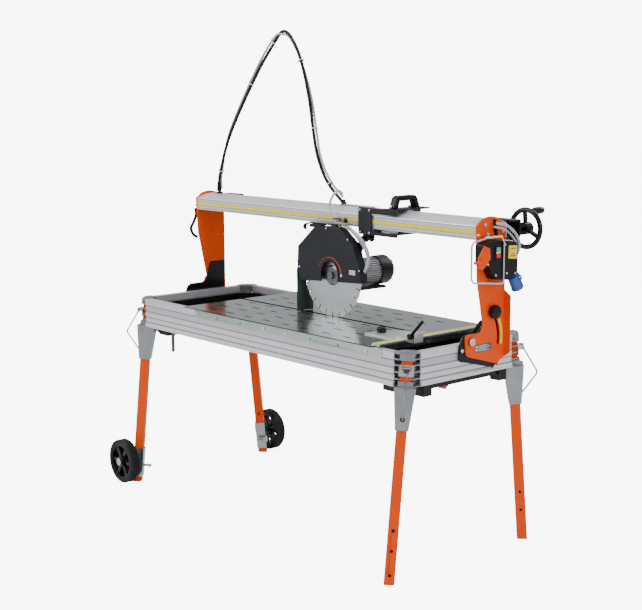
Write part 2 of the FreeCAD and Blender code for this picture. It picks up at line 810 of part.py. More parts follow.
def make_switchgear():
    """Switch box on the right tower with two push buttons, wire guard, blue inlet and laser."""
    x0 = d.end_rail_face_x + d.bracket_thickness + d.plate_gap + d.tower_thickness
    x1 = x0 + d.box_depth
    upper = [(14, 1060), (60, 1074), (166, 1062), (178, 1048)]
    outline = upper + [(178, 960), (140, 937), (72, 944), (44, 984), (14, 994)]
    case = prism("YZ", x0, "dims.box_depth", outline)
    well_y = 80 - d.button_width / 2
    wells = []
    for z in BUTTON_HEIGHTS:
        size = (12, "dims.button_width + 0.2", "dims.button_height + 0.2")
        wells.append(box((x1 - 11, well_y - 0.1, z - d.button_height / 2 - 0.1), size))
    node("switch_box", minus(case, *wells))
    for name, z in zip(("start_button", "stop_button"), BUTTON_HEIGHTS):
        size = (10, "dims.button_width", "dims.button_height")
        node(name, box((x1 - 6, well_y, z - d.button_height / 2), size))
    frame_x = d.wire_frame_x
    low, high, near, far = 930, 1083, -48, 104
    loop = [
        (frame_x, near + 12, low + 14),
        (frame_x, far - 6, low),
        (frame_x, far, low + 8),
        (frame_x, far, high - 18),
        (frame_x, far - 12, high),
        (frame_x, 20, high),
        (frame_x, near + 8, high - 10),
        (frame_x, near, high - 20),
        (frame_x, near, low + 26),
        (frame_x, near + 12, low + 14),
        (frame_x, near + 13.34, low + 13.86),
    ]
    feet = ((70, low + 2), (88, low + 1), (84, high), (48, high))
    stands = [rod((x0, y, z), "X", "dims.wire_radius", frame_x - x0) for y, z in feet]
    node("switch_wire_guard", fuse(wire(loop, "dims.wire_radius"), *stands))
    direction = (0, 0.52, -0.854)
    inlet_at = (796, 171, 948)
    profile = [(0.001, 1), (22, 1), (22, 5), (19, 7), (21.5, 52), (17, 52), (16.5, 22), (0.001, 22)]
    inlet = turned(inlet_at, direction, profile)
    pins = [rod((796 + dx, 171 + 8 * 0.52, 948 - 8 * 0.854), direction, 2.4, 34) for dx in (-7, 7)]
    node("power_inlet", minus(fuse(inlet, *pins), together(case)))
    arm = [(-16, 1004), (-14, 1024), (12, 1058), (36, 1050), (42, 1016), (20, 994), (6, 982), (-14, 988)]
    bracket = prism("YZ", x1, 4, arm)
    tube = rod((x1 + 5.5, -36, 1008), "Y", 5, 44)
    heads = [rod((x1 + 3, y, z), "X", 4, 3) for y, z in ((22, 1040), (-2, 1022))]
    node("laser_unit", fuse(bracket, tube, *heads))


# ---------------------------------------------------------------- carriage and cutting head


def make_carriage():
    """Bent plate carriage round the beam, with glide pads, belt jaws and hinge ears."""
    left, right = d.carriage_left, d.carriage_right
    low, top = 1050, 1144
    over = [(left, low), (left, top - 4), (left + 4, top), (404, top), (404, 1124)]
    face = over + [(284, 1124), (284, low + 12), (right, low + 12), (right, low)]
    front = prism("XZ", "dims.carriage_front", "dims.carriage_plate", face)
    strap = box((340, "dims.carriage_front", 1140.5), (64, 169, 5))
    floor = box(("dims.carriage_left", "dims.carriage_front", low), (142, 169, 6))
    back = box((300, 178, low), (60, 6, 95.5))
    jaws = [box((304, 184, 1118), (36, 18, 6)), box((304, 184, 1100), (36, 18, 10))]
    ears = []
    for y in (26, 54):
        profile = [(230, low), (257, low), (256, 1033), (243, 1021, 230, 1033)]
        hole = (d.hinge_x, d.hinge_height, d.hinge_radius + d.running_fit)
        ears.append(prism("XZ", y, 6, profile, circles=[hole]))
    node("carriage_frame", fuse(front, strap, floor, back, *jaws, *ears))
    pads = []
    for x in (224, 312):
        pads.append(box((x, 40, low + 6), (40, 40, 15.9)))
        pads.append(box((x, 114, low + 6), (40, 40, 15.9)))
    pads.append(box((226, 21, 1078), (50, 2.9, 34)))
    pads.append(box((306, 170.1, 1074), (48, 7.9, 20)))
    pads.append(box((350, 84, "dims.beam_top + 0.1"), (44, 26, 4.4)))
    node("carriage_glides", together(*pads))
    path = [
        (33, 1145.5), (46, 1180), (56, 1189), (138, 1189), (148, 1180), (161, 1145.5),
        (138, 1145.5), (130, 1171), (64, 1171), (56, 1145.5),
    ]
    node("carriage_handle", prism("YZ", 352, 28, path))


def umbilical_path(y):
    points = [
        (-712, y, 1163), (-703, y, 1222), (-628, y, 1384), (-449, y, 1616), (-330, y, 1748),
        (-282, y, 1772), (-236, y, 1752), (-178, y, 1664), (-134, y, 1530), (-107, y, 1394),
        (-76, y, 1272), (-22, y, 1204), (56, y, 1158),
    ]
    curve = Part.BSplineCurve()
    curve.interpolate([Vector(*p) for p in points])
    return curve


def make_umbilical():
    """Motor cable and water hose in one loop from the bridge to the head."""
    runs = []
    for y, radius in ((92, 7), (108, 4.5)):
        curve = umbilical_path(y)
        spine = doc.addObject("Part::Feature", "spine")
        spine.Shape = Part.Wire(curve.toShape())
        start = curve.value(curve.FirstParameter)
        direction = curve.tangent(curve.FirstParameter)[0]
        ring = doc.addObject("Sketcher::SketchObject", "section")
        ring.addGeometry(Part.Circle(Vector(0, 0, 0), Vector(0, 0, 1), radius))
        ring.Placement = Placement(start, Rotation(Vector(0, 0, 1), direction))
        sweep = doc.addObject("Part::Sweep", "run")
        sweep.Sections = [ring]
        sweep.Spine = (spine, ["Edge1"])
        sweep.Solid = True
        sweep.Frenet = False
        runs.append(sweep)
    node("umbilical", together(*runs))


def make_head_arm():
    """Swing arm: hinge pin, slim neck, plate behind the guard, spindle housing and motor flange."""
    outline = [
        (236, 1044),
        (250, 1042),
        (254, 1030),
        (246, 1014),
        (232, 985),
        (248, 940),
        (252, 900),
        (180, 862),
        (130, 848),
        (70, 848),
        (48, 872),
        (40, 910),
        (60, 960),
        (150, 990),
        (212, 1012),
        (230, 1032),
    ]
    back_wall = d.guard_front + d.guard_depth
    plate = prism("XZ", back_wall, 9, outline)
    pin = rod(("dims.hinge_x", back_wall, "dims.hinge_height"), "Y", "dims.hinge_radius", 49)
    spacer = rod(("dims.hinge_x", 34, "dims.hinge_height"), "Y", 9, 18)
    housing = rod(("dims.hub_x", back_wall, "dims.hub_height"), "Y", 28, 50)
    flange = rod(("dims.hub_x", 62, "dims.hub_height"), "Y", 49, d.motor_front - 62)
    bore = rod(("dims.hub_x", 0, "dims.hub_height"), "Y", "dims.spindle_radius + dims.running_fit", 90)
    node("head_arm", minus(fuse(plate, pin, spacer, flange, housing), bore))


def guard_outline():
    lower = [(-174, 16), (-160, -31), (170, -11), (165, 40)]
    hub = lower + [(129, 121), (66, 170), (34, 180), (-74, 172), (-170, 94)]
    return [(d.hub_x + u, d.hub_height + v) for u, v in hub]


def make_guard():
    """Blade guard: a shell open below, with a hub cut-out in the near wall and a rubber flap."""
    outer = guard_outline()
    wall = -d.guard_wall
    inner = inset(outer, [60 if i == 1 else wall for i in range(len(outer))])
    shell = prism("XZ", "dims.guard_front", "dims.guard_depth", outer)
    depth = "dims.guard_depth - 2 * dims.guard_wall"
    hollow = prism("XZ", "dims.guard_front + dims.guard_wall", depth, inner)
    x, z = d.hub_x, d.hub_height
    arch = [(x - 38, z - 70), (x + 54, z - 70), (x + 54, z + 8), (x + 8, z + 54, x - 38, z + 8)]
    window = prism("XZ", d.guard_front - 1, 6, arch)
    eye = rod(("dims.hub_x", 5, "dims.hub_height"), "Y", "dims.spindle_radius + 8", 15)
    mouth = box((x - 20.5, 8, z - 70), (41, 20, 70))
    tab_steps = [(-82, 168), (-40, 176), (-50, 184), (-112, 178), (-116, 170), (-106, 166)]
    tab_path = [(x + dx, z + dz) for dx, dz in tab_steps]
    tab = prism("XZ", -14, 22, tab_path)
    node("blade_guard", minus(fuse(shell, tab), fuse(hollow, window, eye, mouth)))
    left = x - 174 - 3.2
    flap = [(-20, 904), (18, 904), (34, 800), (34, 762), (-28, 786), (-26, 820)]
    node("splash_flap", prism("YZ", left, 3, flap))


def make_tap():
    """Water tap on the guard's shoulder: valve body, brass tail and a quarter-turn lever."""
    x, z = d.hub_x + 46, d.hub_height + 178.2
    body = rod((x - 18, -6, z + 12), "X", 8, 40)
    foot = rod((x, -6, z - 2.5), "Z", 7, 12)
    neck = rod((x, -6, z + 12), "Z", 6, 13)
    tail = rod((x + 20, -6, z + 12), (0.8, 0, -0.5), 5, 24)
    outline = inset(guard_outline(), [0] * 9)
    guard_void = prism("XZ", -30, 60, outline)
    stem_bore = rod((x, -6, z + 16), "Z", 3 + d.running_fit, 12)
    node("water_tap", minus(fuse(body, foot, neck, tail), guard_void, stem_bore))
    stem = rod((x, -6, z + 17), "Z", 3, 12)
    lever = box((x - 34, -11, z + 26), (40, 10, 4))
    node("tap_lever", fuse(stem, lever))


def make_motor():
    """Finned motor on the back of the arm, with black end covers."""
    y0, r = d.motor_front, d.motor_radius
    x, z = d.hub_x, d.hub_height
    teeth = []
    fins = 36
    for i in range(fins):
        a = 360 / fins * i
        tip = r + d.fin_height
        corners = ((r, -3), (r, 1.6), (tip, 2), (tip, 4.6))
        teeth += [polar(x, z, radius, a + step) for radius, step in corners]
        teeth += [polar(x, z, r, a + 5)]
    node("motor_body", prism("XZ", y0 + 12, d.motor_length - 12, teeth))
    front = turned((x, y0, z), "Y", [(16, 0), (50, 0), (52, 3), (52, 12), (16, 12)])
    back = y0 + d.motor_length
    length = d.fan_cover_length
    edge = [(0.001, 2), (50.5, 2), (50.5, 0.01), (53.5, 0.01)]
    cover = edge + [(54, length - 12), (46, length), (12, length), (12, length - 3)]
    cover += [(0.001, length - 3)]
    cap = turned((x, back, z), "Y", cover)
    feet = box((x - 38, y0 + 2, z - 63), (76, 152, 8))
    feet_web = box((x - 32, y0 + 2, z - 58), (64, 8, 20))
    node("motor_covers", together(fuse(front, feet, feet_web), cap))


def make_blade():
    """Segmented diamond blade, clamped by two flanges and a nut on the spindle."""
    x, z = d.hub_x, d.hub_height
    count = 24
    step = 360 / count
    slit = 0.5
    edge = []
    for i in range(count):
        start = i * step + slit
        end = (i + 1) * step - slit
        edge.append(polar(x, z, d.blade_radius - 11, start))
        edge.append(polar(x, z, d.blade_radius, start))
        edge.append(polar(x, z, d.blade_radius, (start + end) / 2) + polar(x, z, d.blade_radius, end))
        edge.append(polar(x, z, d.blade_radius - 11, end))
    bore = (x, z, d.spindle_radius)
    node("blade", prism("XZ", "-dims.blade_thickness / 2", "dims.blade_thickness", edge, circles=[bore]))
    half = d.blade_thickness / 2
    shaft = rod((x, -15, z), "Y", "dims.spindle_radius", 88)
    near = turned((x, -half - 5, z), "Y", [(0.001, 0), (30, 0), (37, 4), (37, 5), (0.001, 5)])
    far = turned((x, half, z), "Y", [(0.001, 0), (19, 0), (19, 4), (0.001, 4)])
    nut = prism("XZ", -14, 8, hexagon(x, z, 26))
    node("spindle", fuse(shaft, near, far, nut))


# ---------------------------------------------------------------- build, check and write

make_rails()
make_corners()
make_tub()
make_table()
make_fence()
make_frame_screws()
make_towers()
make_beam()
make_belt_drive()
make_switchgear()
make_carriage()
make_umbilical()
make_head_arm()
make_guard()
make_tap()
make_motor()
make_blade()

doc.recompute()

for obj in doc.Objects:
    if "Invalid" in obj.State or "Error" in obj.State:
        raise RuntimeError(f"{obj.Name} ({obj.Label}) did not build: {obj.State}")
for name, obj in NODES.items():
    shape = obj.Shape
    if shape.isNull() or not shape.isValid() or not shape.Solids:
        raise RuntimeError(f"{name} has no valid solid")

os.makedirs("parts", exist_ok=True)
for name, obj in NODES.items():
    obj.Shape.exportStep(f"parts/{name}.step")
print(len(NODES), "sub-parts written")
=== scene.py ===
"""Wet tile saw: finishes, rounded edges, hoses, cables, scales and small fittings.

Metres, in the CAD frame: X along the cut, -Y the operator's side, Z up.
"""

import json
import math

import bmesh
import bpy
from mathutils import Matrix, Vector


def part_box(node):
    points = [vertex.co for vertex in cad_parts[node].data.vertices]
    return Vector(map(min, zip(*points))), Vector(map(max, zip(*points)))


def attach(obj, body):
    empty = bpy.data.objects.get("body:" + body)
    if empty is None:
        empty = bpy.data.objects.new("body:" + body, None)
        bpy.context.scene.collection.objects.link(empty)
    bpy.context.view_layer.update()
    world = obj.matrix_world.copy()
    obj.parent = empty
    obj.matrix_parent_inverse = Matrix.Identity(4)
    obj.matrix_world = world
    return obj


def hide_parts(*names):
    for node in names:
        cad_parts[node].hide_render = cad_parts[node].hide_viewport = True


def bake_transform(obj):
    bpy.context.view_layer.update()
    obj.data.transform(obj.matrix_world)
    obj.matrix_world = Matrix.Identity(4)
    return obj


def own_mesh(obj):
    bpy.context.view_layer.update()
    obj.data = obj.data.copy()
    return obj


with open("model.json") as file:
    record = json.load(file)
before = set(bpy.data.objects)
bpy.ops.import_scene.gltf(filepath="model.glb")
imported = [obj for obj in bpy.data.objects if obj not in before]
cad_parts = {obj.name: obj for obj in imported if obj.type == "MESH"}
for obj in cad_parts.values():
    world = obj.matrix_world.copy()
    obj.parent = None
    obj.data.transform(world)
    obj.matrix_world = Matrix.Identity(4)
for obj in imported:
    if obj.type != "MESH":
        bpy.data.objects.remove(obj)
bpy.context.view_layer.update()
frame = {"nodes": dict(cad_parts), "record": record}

MM = 0.001
SLOT_OF = {p["node"]: p["material_slot"] for p in frame["record"]["subparts"]}
BODY_OF = {n: b for b, nodes in frame["record"]["behaviour"]["bodies"].items() for n in nodes}

# grooves and recess of the rails, below their top
RAIL_GROOVES = (0.025, 0.049, 0.071, 0.091)
RAIL_RECESS = 0.037
RAIL_RECESS_HALF = 0.010

# slits between the blade's rim segments, where the blade finish paints shade
SEGMENT_PITCH = math.radians(15)
SLIT_START = 0.1305

# legs: centre line at the floor, lean towards the middle, and the height of their holes
LEG_X = 0.733
LEG_FOOT_Y = 0.321
LEG_LEAN = math.tan(math.radians(6.01))
ADJUSTER_HEIGHTS = (0.176, 0.110)
PIN_HEIGHT = 0.532


def low(node):
    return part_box(node)[0]


def high(node):
    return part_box(node)[1]


def centre(node):
    return (low(node) + high(node)) / 2


def table_top():
    return high("table_plates").z


# ---------------------------------------------------------------- materials


class Finish:
    """A node material: a Principled shader and a few helpers to wire textures into it."""

    def __init__(self, name, **shader):
        self.material = bpy.data.materials.new(name)
        self.material.use_nodes = True
        self.tree = self.material.node_tree
        self.shader = self.tree.nodes["Principled BSDF"]
        self.set(**shader)
        self.place = self.node("ShaderNodeTexCoord").outputs["Object"]

    def set(self, **inputs):
        for name, value in inputs.items():
            self.feed(self.shader.inputs[name.replace("_", " ")], value)

    def feed(self, socket, value):
        if isinstance(value, bpy.types.NodeSocket):
            self.tree.links.new(value, socket)
        elif (
            hasattr(socket.default_value, "__len__")
            and len(value) == 3
            and len(socket.default_value) == 4
        ):
            socket.default_value = (*value, 1)
        else:
            socket.default_value = value

    def node(self, kind, inputs=None, **settings):
        made = self.tree.nodes.new(kind)
        for name, value in settings.items():
            setattr(made, name, value)
        for name, value in (inputs or {}).items():
            self.feed(made.inputs[name], value)
        return made

    def stretched(self, x=1, y=1, z=1):
        inputs = {"Vector": self.place, "Scale": (x, y, z)}
        return self.node("ShaderNodeMapping", inputs).outputs["Vector"]

    def noise(self, scale, detail=4, rough=0.5, vector=None):
        inputs = {"Vector": vector or self.place, "Scale": scale}
        inputs.update({"Detail": detail, "Roughness": rough})
        return self.node("ShaderNodeTexNoise", inputs).outputs["Fac"]

    def cells(self, scale, output="Distance"):
        inputs = {"Vector": self.place, "Scale": scale}
        return self.node("ShaderNodeTexVoronoi", inputs).outputs[output]

    def math(self, operation, a, b=0.0):
        return self.node("ShaderNodeMath", {0: a, 1: b}, operation=operation).outputs[0]

    def remap(self, value, a, b, c, d):
        inputs = {"Value": value, "From Min": a, "From Max": b, "To Min": c, "To Max": d}
        return self.node("ShaderNodeMapRange", inputs).outputs["Result"]

    def mix(self, factor, a, b):
        made = self.node("ShaderNodeMix", data_type="RGBA")
        self.feed(made.inputs[0], factor)
        self.feed(made.inputs[6], a)
        self.feed(made.inputs[7], b)
        return made.outputs[2]

    def axis(self, letter):
        split = self.node("ShaderNodeSeparateXYZ", {"Vector": self.place})
        return split.outputs[letter]

    def bump(self, height, distance, normal=None):
        inputs = {"Height": height, "Distance": distance, "Strength": 1.0}
        if normal is not None:
            inputs["Normal"] = normal
        return self.node("ShaderNodeBump", inputs).outputs["Normal"]

    def edges(self, radius):
        """About 1 on sharp outer edges and 0 on flats, from a softened normal."""
        soft = self.node("ShaderNodeBevel", {"Radius": radius}, samples=4).outputs["Normal"]
        flat = self.node("ShaderNodeNewGeometry").outputs["Normal"]
        dot = self.node("ShaderNodeVectorMath", {0: soft, 1: flat}, operation="DOT_PRODUCT")
        return self.remap(dot.outputs["Value"], 0.98, 0.82, 0, 1)


def coated(name, colour, shade, rough, wear=None, **shader):
    """Paint or powder coat: mottled colour, uneven gloss, orange-peel skin and rubbed edges."""
    f = Finish(name, **shader)
    patches = f.noise(5, 5, 0.55)
    tint = f.mix(f.remap(patches, 0.3, 0.75, 0, 1), colour, shade)
    if wear is not None:
        rubbed = f.remap(f.noise(75, 6, 0.7), 0.54, 0.64, 0, 0.55)
        scuffs = f.math("MULTIPLY", f.edges(0.0009), rubbed)
        tint = f.mix(scuffs, tint, wear)
    f.set(Base_Color=tint)
    f.set(Roughness=f.remap(f.noise(28, 6, 0.6), 0.3, 0.7, rough[0], rough[1]))
    f.set(Normal=f.bump(f.noise(420, 2), 0.00005))
    return f.material


def drawn_metal(name, colour, rough, along, **shader):
    """Extruded or brushed metal: fine streaks along one axis, with faint stains."""
    f = Finish(name, Metallic=1.0, Anisotropic=0.4)
    stretch = [1.5 if axis == along else 260 for axis in "XYZ"]
    streaks = f.noise(1.0, 5, 0.7, f.stretched(*stretch))
    stains = f.noise(4, 6, 0.6)
    darker = tuple(c * 0.78 for c in colour)
    base = f.mix(f.remap(stains, 0.35, 0.75, 0, 0.45), colour, darker)
    base = f.mix(f.remap(streaks, 0.3, 0.7, 0, 0.35), base, darker)
    f.set(Base_Color=base)
    f.set(Roughness=f.remap(streaks, 0.25, 0.75, rough[0], rough[1]))
    f.set(Normal=f.bump(streaks, 0.00003))
    f.set(**shader)
    return f.material


def rail_finish(name, along, top):
    """Anodised rail with painted shade in its grooves and a painted shadow line under each raised
    band.
    """
    f = Finish(name, Metallic=0.7, Anisotropic=0.4)
    stretch = [1.5 if axis == along else 260 for axis in "XYZ"]
    streaks = f.noise(1.0, 5, 0.7, f.stretched(*stretch))
    stains = f.noise(3, 6, 0.6)
    pale, dull = (0.80, 0.79, 0.84), (0.64, 0.63, 0.68)
    base = f.mix(f.remap(stains, 0.35, 0.75, 0, 0.35), pale, dull)
    base = f.mix(f.remap(streaks, 0.3, 0.7, 0, 0.25), base, (0.56, 0.55, 0.60))
    height = f.axis("Z")
    # painted shade: each groove is darkened towards black and made rougher
    groove_shade = 0.0
    for drop in RAIL_GROOVES:
        gap = f.math("ABSOLUTE", f.math("SUBTRACT", height, top - drop))
        groove_shade = f.math("MAXIMUM", groove_shade, f.remap(gap, 0.0012, 0.0028, 0.62, 0))
    # painted shadow under each raised band, across the recess
    recess = f.math("ABSOLUTE", f.math("SUBTRACT", height, top - RAIL_RECESS))
    shade = f.remap(recess, RAIL_RECESS_HALF - 0.0005, RAIL_RECESS_HALF + 0.0005, 0.22, 0)
    base = f.mix(f.math("MAXIMUM", groove_shade, shade), base, (0.05, 0.05, 0.06))
    f.set(Base_Color=base)
    gloss = f.remap(streaks, 0.25, 0.75, 0.30, 0.44)
    f.set(Roughness=f.math("ADD", gloss, f.math("MULTIPLY", groove_shade, 0.3)))
    f.set(Normal=f.bump(streaks, 0.00003))
    return f.material


def galvanised(name, colour, shade, slot_wall_shade=0.0):
    """Hot-dip zinc sheet: spangle, stains, scratches along the cut; painted shade on the slot
    walls.
    """
    f = Finish(name, Metallic=0.92)
    spangle = f.cells(140.0, "Color")
    grey = f.node("ShaderNodeSeparateColor", {"Color": spangle}).outputs[0]
    cloud = f.noise(3.2, 5, 0.55)
    scratches = f.noise(1.0, 4, 0.7, f.stretched(6, 420, 420))
    base = f.mix(f.remap(cloud, 0.3, 0.7, 0, 1), colour, shade)
    base = f.mix(f.math("MULTIPLY", grey, 0.10), base, (0.60, 0.64, 0.62))
    base = f.mix(f.remap(scratches, 0.56, 0.72, 0, 0.35), base, (0.62, 0.66, 0.64))
    normal = f.node("ShaderNodeNewGeometry").outputs["Normal"]
    facing = f.node("ShaderNodeSeparateXYZ", {"Vector": normal})
    # painted shade: faces turned sideways, such as the walls of the slots, are darkened towards
    # black
    wall_shade = f.remap(f.math("ABSOLUTE", facing.outputs["Z"]), 0.3, 0.6, slot_wall_shade, 0)
    f.set(Base_Color=f.mix(wall_shade, base, (0.01, 0.012, 0.012)))
    gloss = f.math("ADD", f.remap(grey, 0, 1, 0.13, 0.18), f.remap(cloud, 0.3, 0.7, 0, 0.08))
    f.set(Roughness=gloss)
    waves = f.math("ADD", f.noise(9, 3), f.math("MULTIPLY", grey, 0.02))
    f.set(Normal=f.bump(waves, 0.0003))
    return f.material


def cast_metal(name, colour, shade, rough):
    """Sand-cast or die-cast alloy with a pebbled skin."""
    f = Finish(name, Metallic=0.75)
    f.set(Base_Color=f.mix(f.remap(f.noise(14, 6, 0.7), 0.3, 0.7, 0, 1), colour, shade))
    f.set(Roughness=f.remap(f.noise(90, 4), 0.3, 0.7, rough[0], rough[1]))
    f.set(Normal=f.bump(f.noise(520, 4, 0.7), 0.00022))
    return f.material


def moulded(name, colour, rough, grain=700, depth=0.00010, **shader):
    """Moulded plastic or rubber with a fine eroded texture."""
    f = Finish(name, **shader)
    lighter = tuple(min(1, c * 1.4 + 0.002) for c in colour)
    f.set(Base_Color=f.mix(f.remap(f.noise(16, 6, 0.65), 0.4, 0.75, 0, 1), colour, lighter))
    f.set(Roughness=f.remap(f.noise(50, 5), 0.3, 0.7, rough[0], rough[1]))
    f.set(Normal=f.bump(f.cells(grain), depth))
    return f.material


def tyre_finish(name, colour):
    """Dull rubber with tread grooves round the tyre and a fine eroded texture."""
    f = Finish(name, Specular_IOR_Level=0.3)
    dust = f.remap(f.noise(20, 6, 0.65), 0.45, 0.75, 0, 1)
    f.set(Base_Color=f.mix(dust, colour, tuple(3 * c + 0.004 for c in colour)))
    f.set(Roughness=f.remap(f.noise(50, 5), 0.3, 0.7, 0.5, 0.7))
    wave = f.math("SINE", f.math("MULTIPLY", f.axis("Y"), 430.0))
    groove = f.math("POWER", f.math("ABSOLUTE", wave), 0.4)
    normal = f.bump(groove, 0.0012)
    f.set(Normal=f.bump(f.cells(380), 0.0002, normal=normal))
    return f.material


def blade_finish(name, hub):
    """Ground steel with ring-shaped grinding marks and painted shade along the slits between the
    rim segments.
    """
    f = Finish(name, Metallic=1.0, Anisotropic=0.6)
    away = f.node("ShaderNodeVectorMath", {0: f.place, 1: hub}, operation="SUBTRACT").outputs[0]
    radius = f.node("ShaderNodeVectorMath", {0: away}, operation="LENGTH").outputs["Value"]
    parts = f.node("ShaderNodeSeparateXYZ", {"Vector": away})
    turn = f.math("ARCTAN2", parts.outputs["Z"], parts.outputs["X"])
    count = f.math("ADD", f.math("DIVIDE", turn, SEGMENT_PITCH), 24.5)
    near = f.math("SUBTRACT", f.math("FRACT", count), 0.5)
    angle = f.math("MULTIPLY", f.math("ABSOLUTE", near), SEGMENT_PITCH)
    beside = f.math("MULTIPLY", angle, radius)
    outside = f.remap(radius, SLIT_START, SLIT_START + 0.002, 0, 1)
    # painted shade: a thin dark band, also rougher, along each slit between the rim segments
    slit_shade = f.math("MULTIPLY", f.remap(beside, 0.0014, 0.0022, 1, 0), outside)
    along = f.node("ShaderNodeCombineXYZ", {"X": f.math("MULTIPLY", radius, 900.0)}).outputs[0]
    rings = f.noise(1.0, 6, 0.8, along)
    cloud = f.noise(7, 5, 0.6)
    steel = f.mix(f.remap(rings, 0.3, 0.7, 0, 0.5), (0.74, 0.74, 0.76), (0.60, 0.60, 0.62))
    steel = f.mix(f.remap(cloud, 0.45, 0.8, 0, 0.4), steel, (0.56, 0.56, 0.57))
    f.set(Base_Color=f.mix(slit_shade, steel, (0.03, 0.03, 0.03)))
    gloss = f.remap(rings, 0.3, 0.7, 0.26, 0.40)
    f.set(Roughness=f.math("ADD", gloss, f.math("MULTIPLY", slit_shade, 0.4)))
    f.set(Normal=f.bump(rings, 0.00003))
    return f.material


def tape_scale(name, along, ground=(0.95, 0.78, 0.0), step=0.01):
    """Printed scale: a tick every step, a longer one every five, on a slightly worn ground."""
    f = Finish(name, Roughness=0.38)
    run = f.axis(along)

    def ticks(pitch, width):
        part = f.math("FRACT", f.math("DIVIDE", f.math("ADD", run, 5.0 + pitch / 2), pitch))
        gap = f.math("ABSOLUTE", f.math("SUBTRACT", part, 0.5))
        return f.math("LESS_THAN", gap, width / pitch / 2)

    edge = f.node("ShaderNodeTexCoord").outputs["Generated"]
    side = f.node("ShaderNodeSeparateXYZ", {"Vector": edge}).outputs["Z" if along == "X" else "X"]
    short = f.math("MULTIPLY", ticks(step, 0.0011), f.math("LESS_THAN", side, 0.34))
    long = f.math("MULTIPLY", ticks(step * 5, 0.0016), f.math("LESS_THAN", side, 0.58))
    ink = f.math("MAXIMUM", short, long)
    worn = f.mix(f.remap(f.noise(40, 6, 0.7), 0.45, 0.75, 0, 0.5), ground, (0.80, 0.66, 0.06))
    f.set(Base_Color=f.mix(f.math("MULTIPLY", ink, 0.9), worn, (0.02, 0.02, 0.02)))
    f.set(Normal=f.bump(f.noise(300, 2), 0.00003))
    return f.material


def clear_hose(name, colour, through):
    """Soft clear tube, slightly milky, with faint drawing lines and traces of water."""
    f = Finish(name, IOR=1.42, Transmission_Weight=through)
    film = f.noise(24, 6, 0.7)
    duller = tuple(c * 0.8 for c in colour)
    f.set(Base_Color=f.mix(f.remap(film, 0.4, 0.7, 0, 1), colour, duller))
    f.set(Roughness=f.remap(film, 0.3, 0.7, 0.08, 0.3))
    f.set(Normal=f.bump(film, 0.0002))
    return f.material


LATCHES = [f"latch_{side}_{end}" for side in ("front", "back") for end in ("left", "right")]
ORANGE = (0.86, 0.078, 0.0)
DEEP_ORANGE = (0.78, 0.064, 0.0)
PRIMER = (0.30, 0.14, 0.07)
STEEL_WEAR = (0.20, 0.20, 0.21)
ZINC, ZINC_SHADE = (0.46, 0.53, 0.51), (0.36, 0.43, 0.41)
BLACK = (0.002, 0.002, 0.0025)
LOW_SHINE = {"Specular_IOR_Level": 0.3}

FINISH = {
    "orange_paint": coated(
        "orange_powder_coat",
        ORANGE,
        DEEP_ORANGE,
        (0.34, 0.50),
        PRIMER,
        Specular_IOR_Level=0.16,
    ),
    "black_paint": coated(
        "black_gloss_paint", BLACK, (0.004, 0.004, 0.0045), (0.14, 0.30), STEEL_WEAR, **LOW_SHINE
    ),
    "charcoal_paint": coated(
        "charcoal_satin_paint",
        (0.008, 0.009, 0.014),
        (0.013, 0.014, 0.021),
        (0.36, 0.50),
        STEEL_WEAR,
        **LOW_SHINE,
    ),
    "anodised": drawn_metal("anodised_rail", (0.74, 0.73, 0.78), (0.24, 0.38), "X"),
    "cast_grey": cast_metal(
        "cast_alloy", (0.36, 0.38, 0.40), (0.27, 0.29, 0.30), (0.34, 0.5)
    ),
    "galvanised": galvanised("galvanised_sheet", ZINC, ZINC_SHADE),
    "bright_steel": drawn_metal("bright_zinc_steel", (0.74, 0.75, 0.77), (0.18, 0.34), "Z"),
    "brass": drawn_metal("turned_brass", (0.83, 0.58, 0.22), (0.18, 0.34), "X"),
    "black_plastic": moulded("black_moulding", BLACK, (0.26, 0.42), **LOW_SHINE),
    "tub_plastic": moulded(
        "tub_moulding", (0.003, 0.003, 0.0035), (0.26, 0.5), grain=240, depth=0.0002, **LOW_SHINE
    ),
    "red_plastic": moulded("red_moulding", (0.55, 0.016, 0.008), (0.25, 0.4)),
    "green_plastic": moulded("green_moulding", (0.10, 0.42, 0.16), (0.25, 0.4)),
    "blue_plastic": moulded("blue_moulding", (0.030, 0.075, 0.36), (0.3, 0.45)),
    "white_plastic": moulded("nylon_glide", (0.70, 0.70, 0.66), (0.35, 0.5)),
    "black_rubber": moulded("cable_rubber", BLACK, (0.40, 0.58), **LOW_SHINE),
    "tyre_rubber": tyre_finish("tyre_rubber", (0.004, 0.004, 0.005)),
}
PLASTIC = FINISH["black_plastic"]
STEEL = FINISH["bright_steel"]
CABLE = FINISH["black_rubber"]

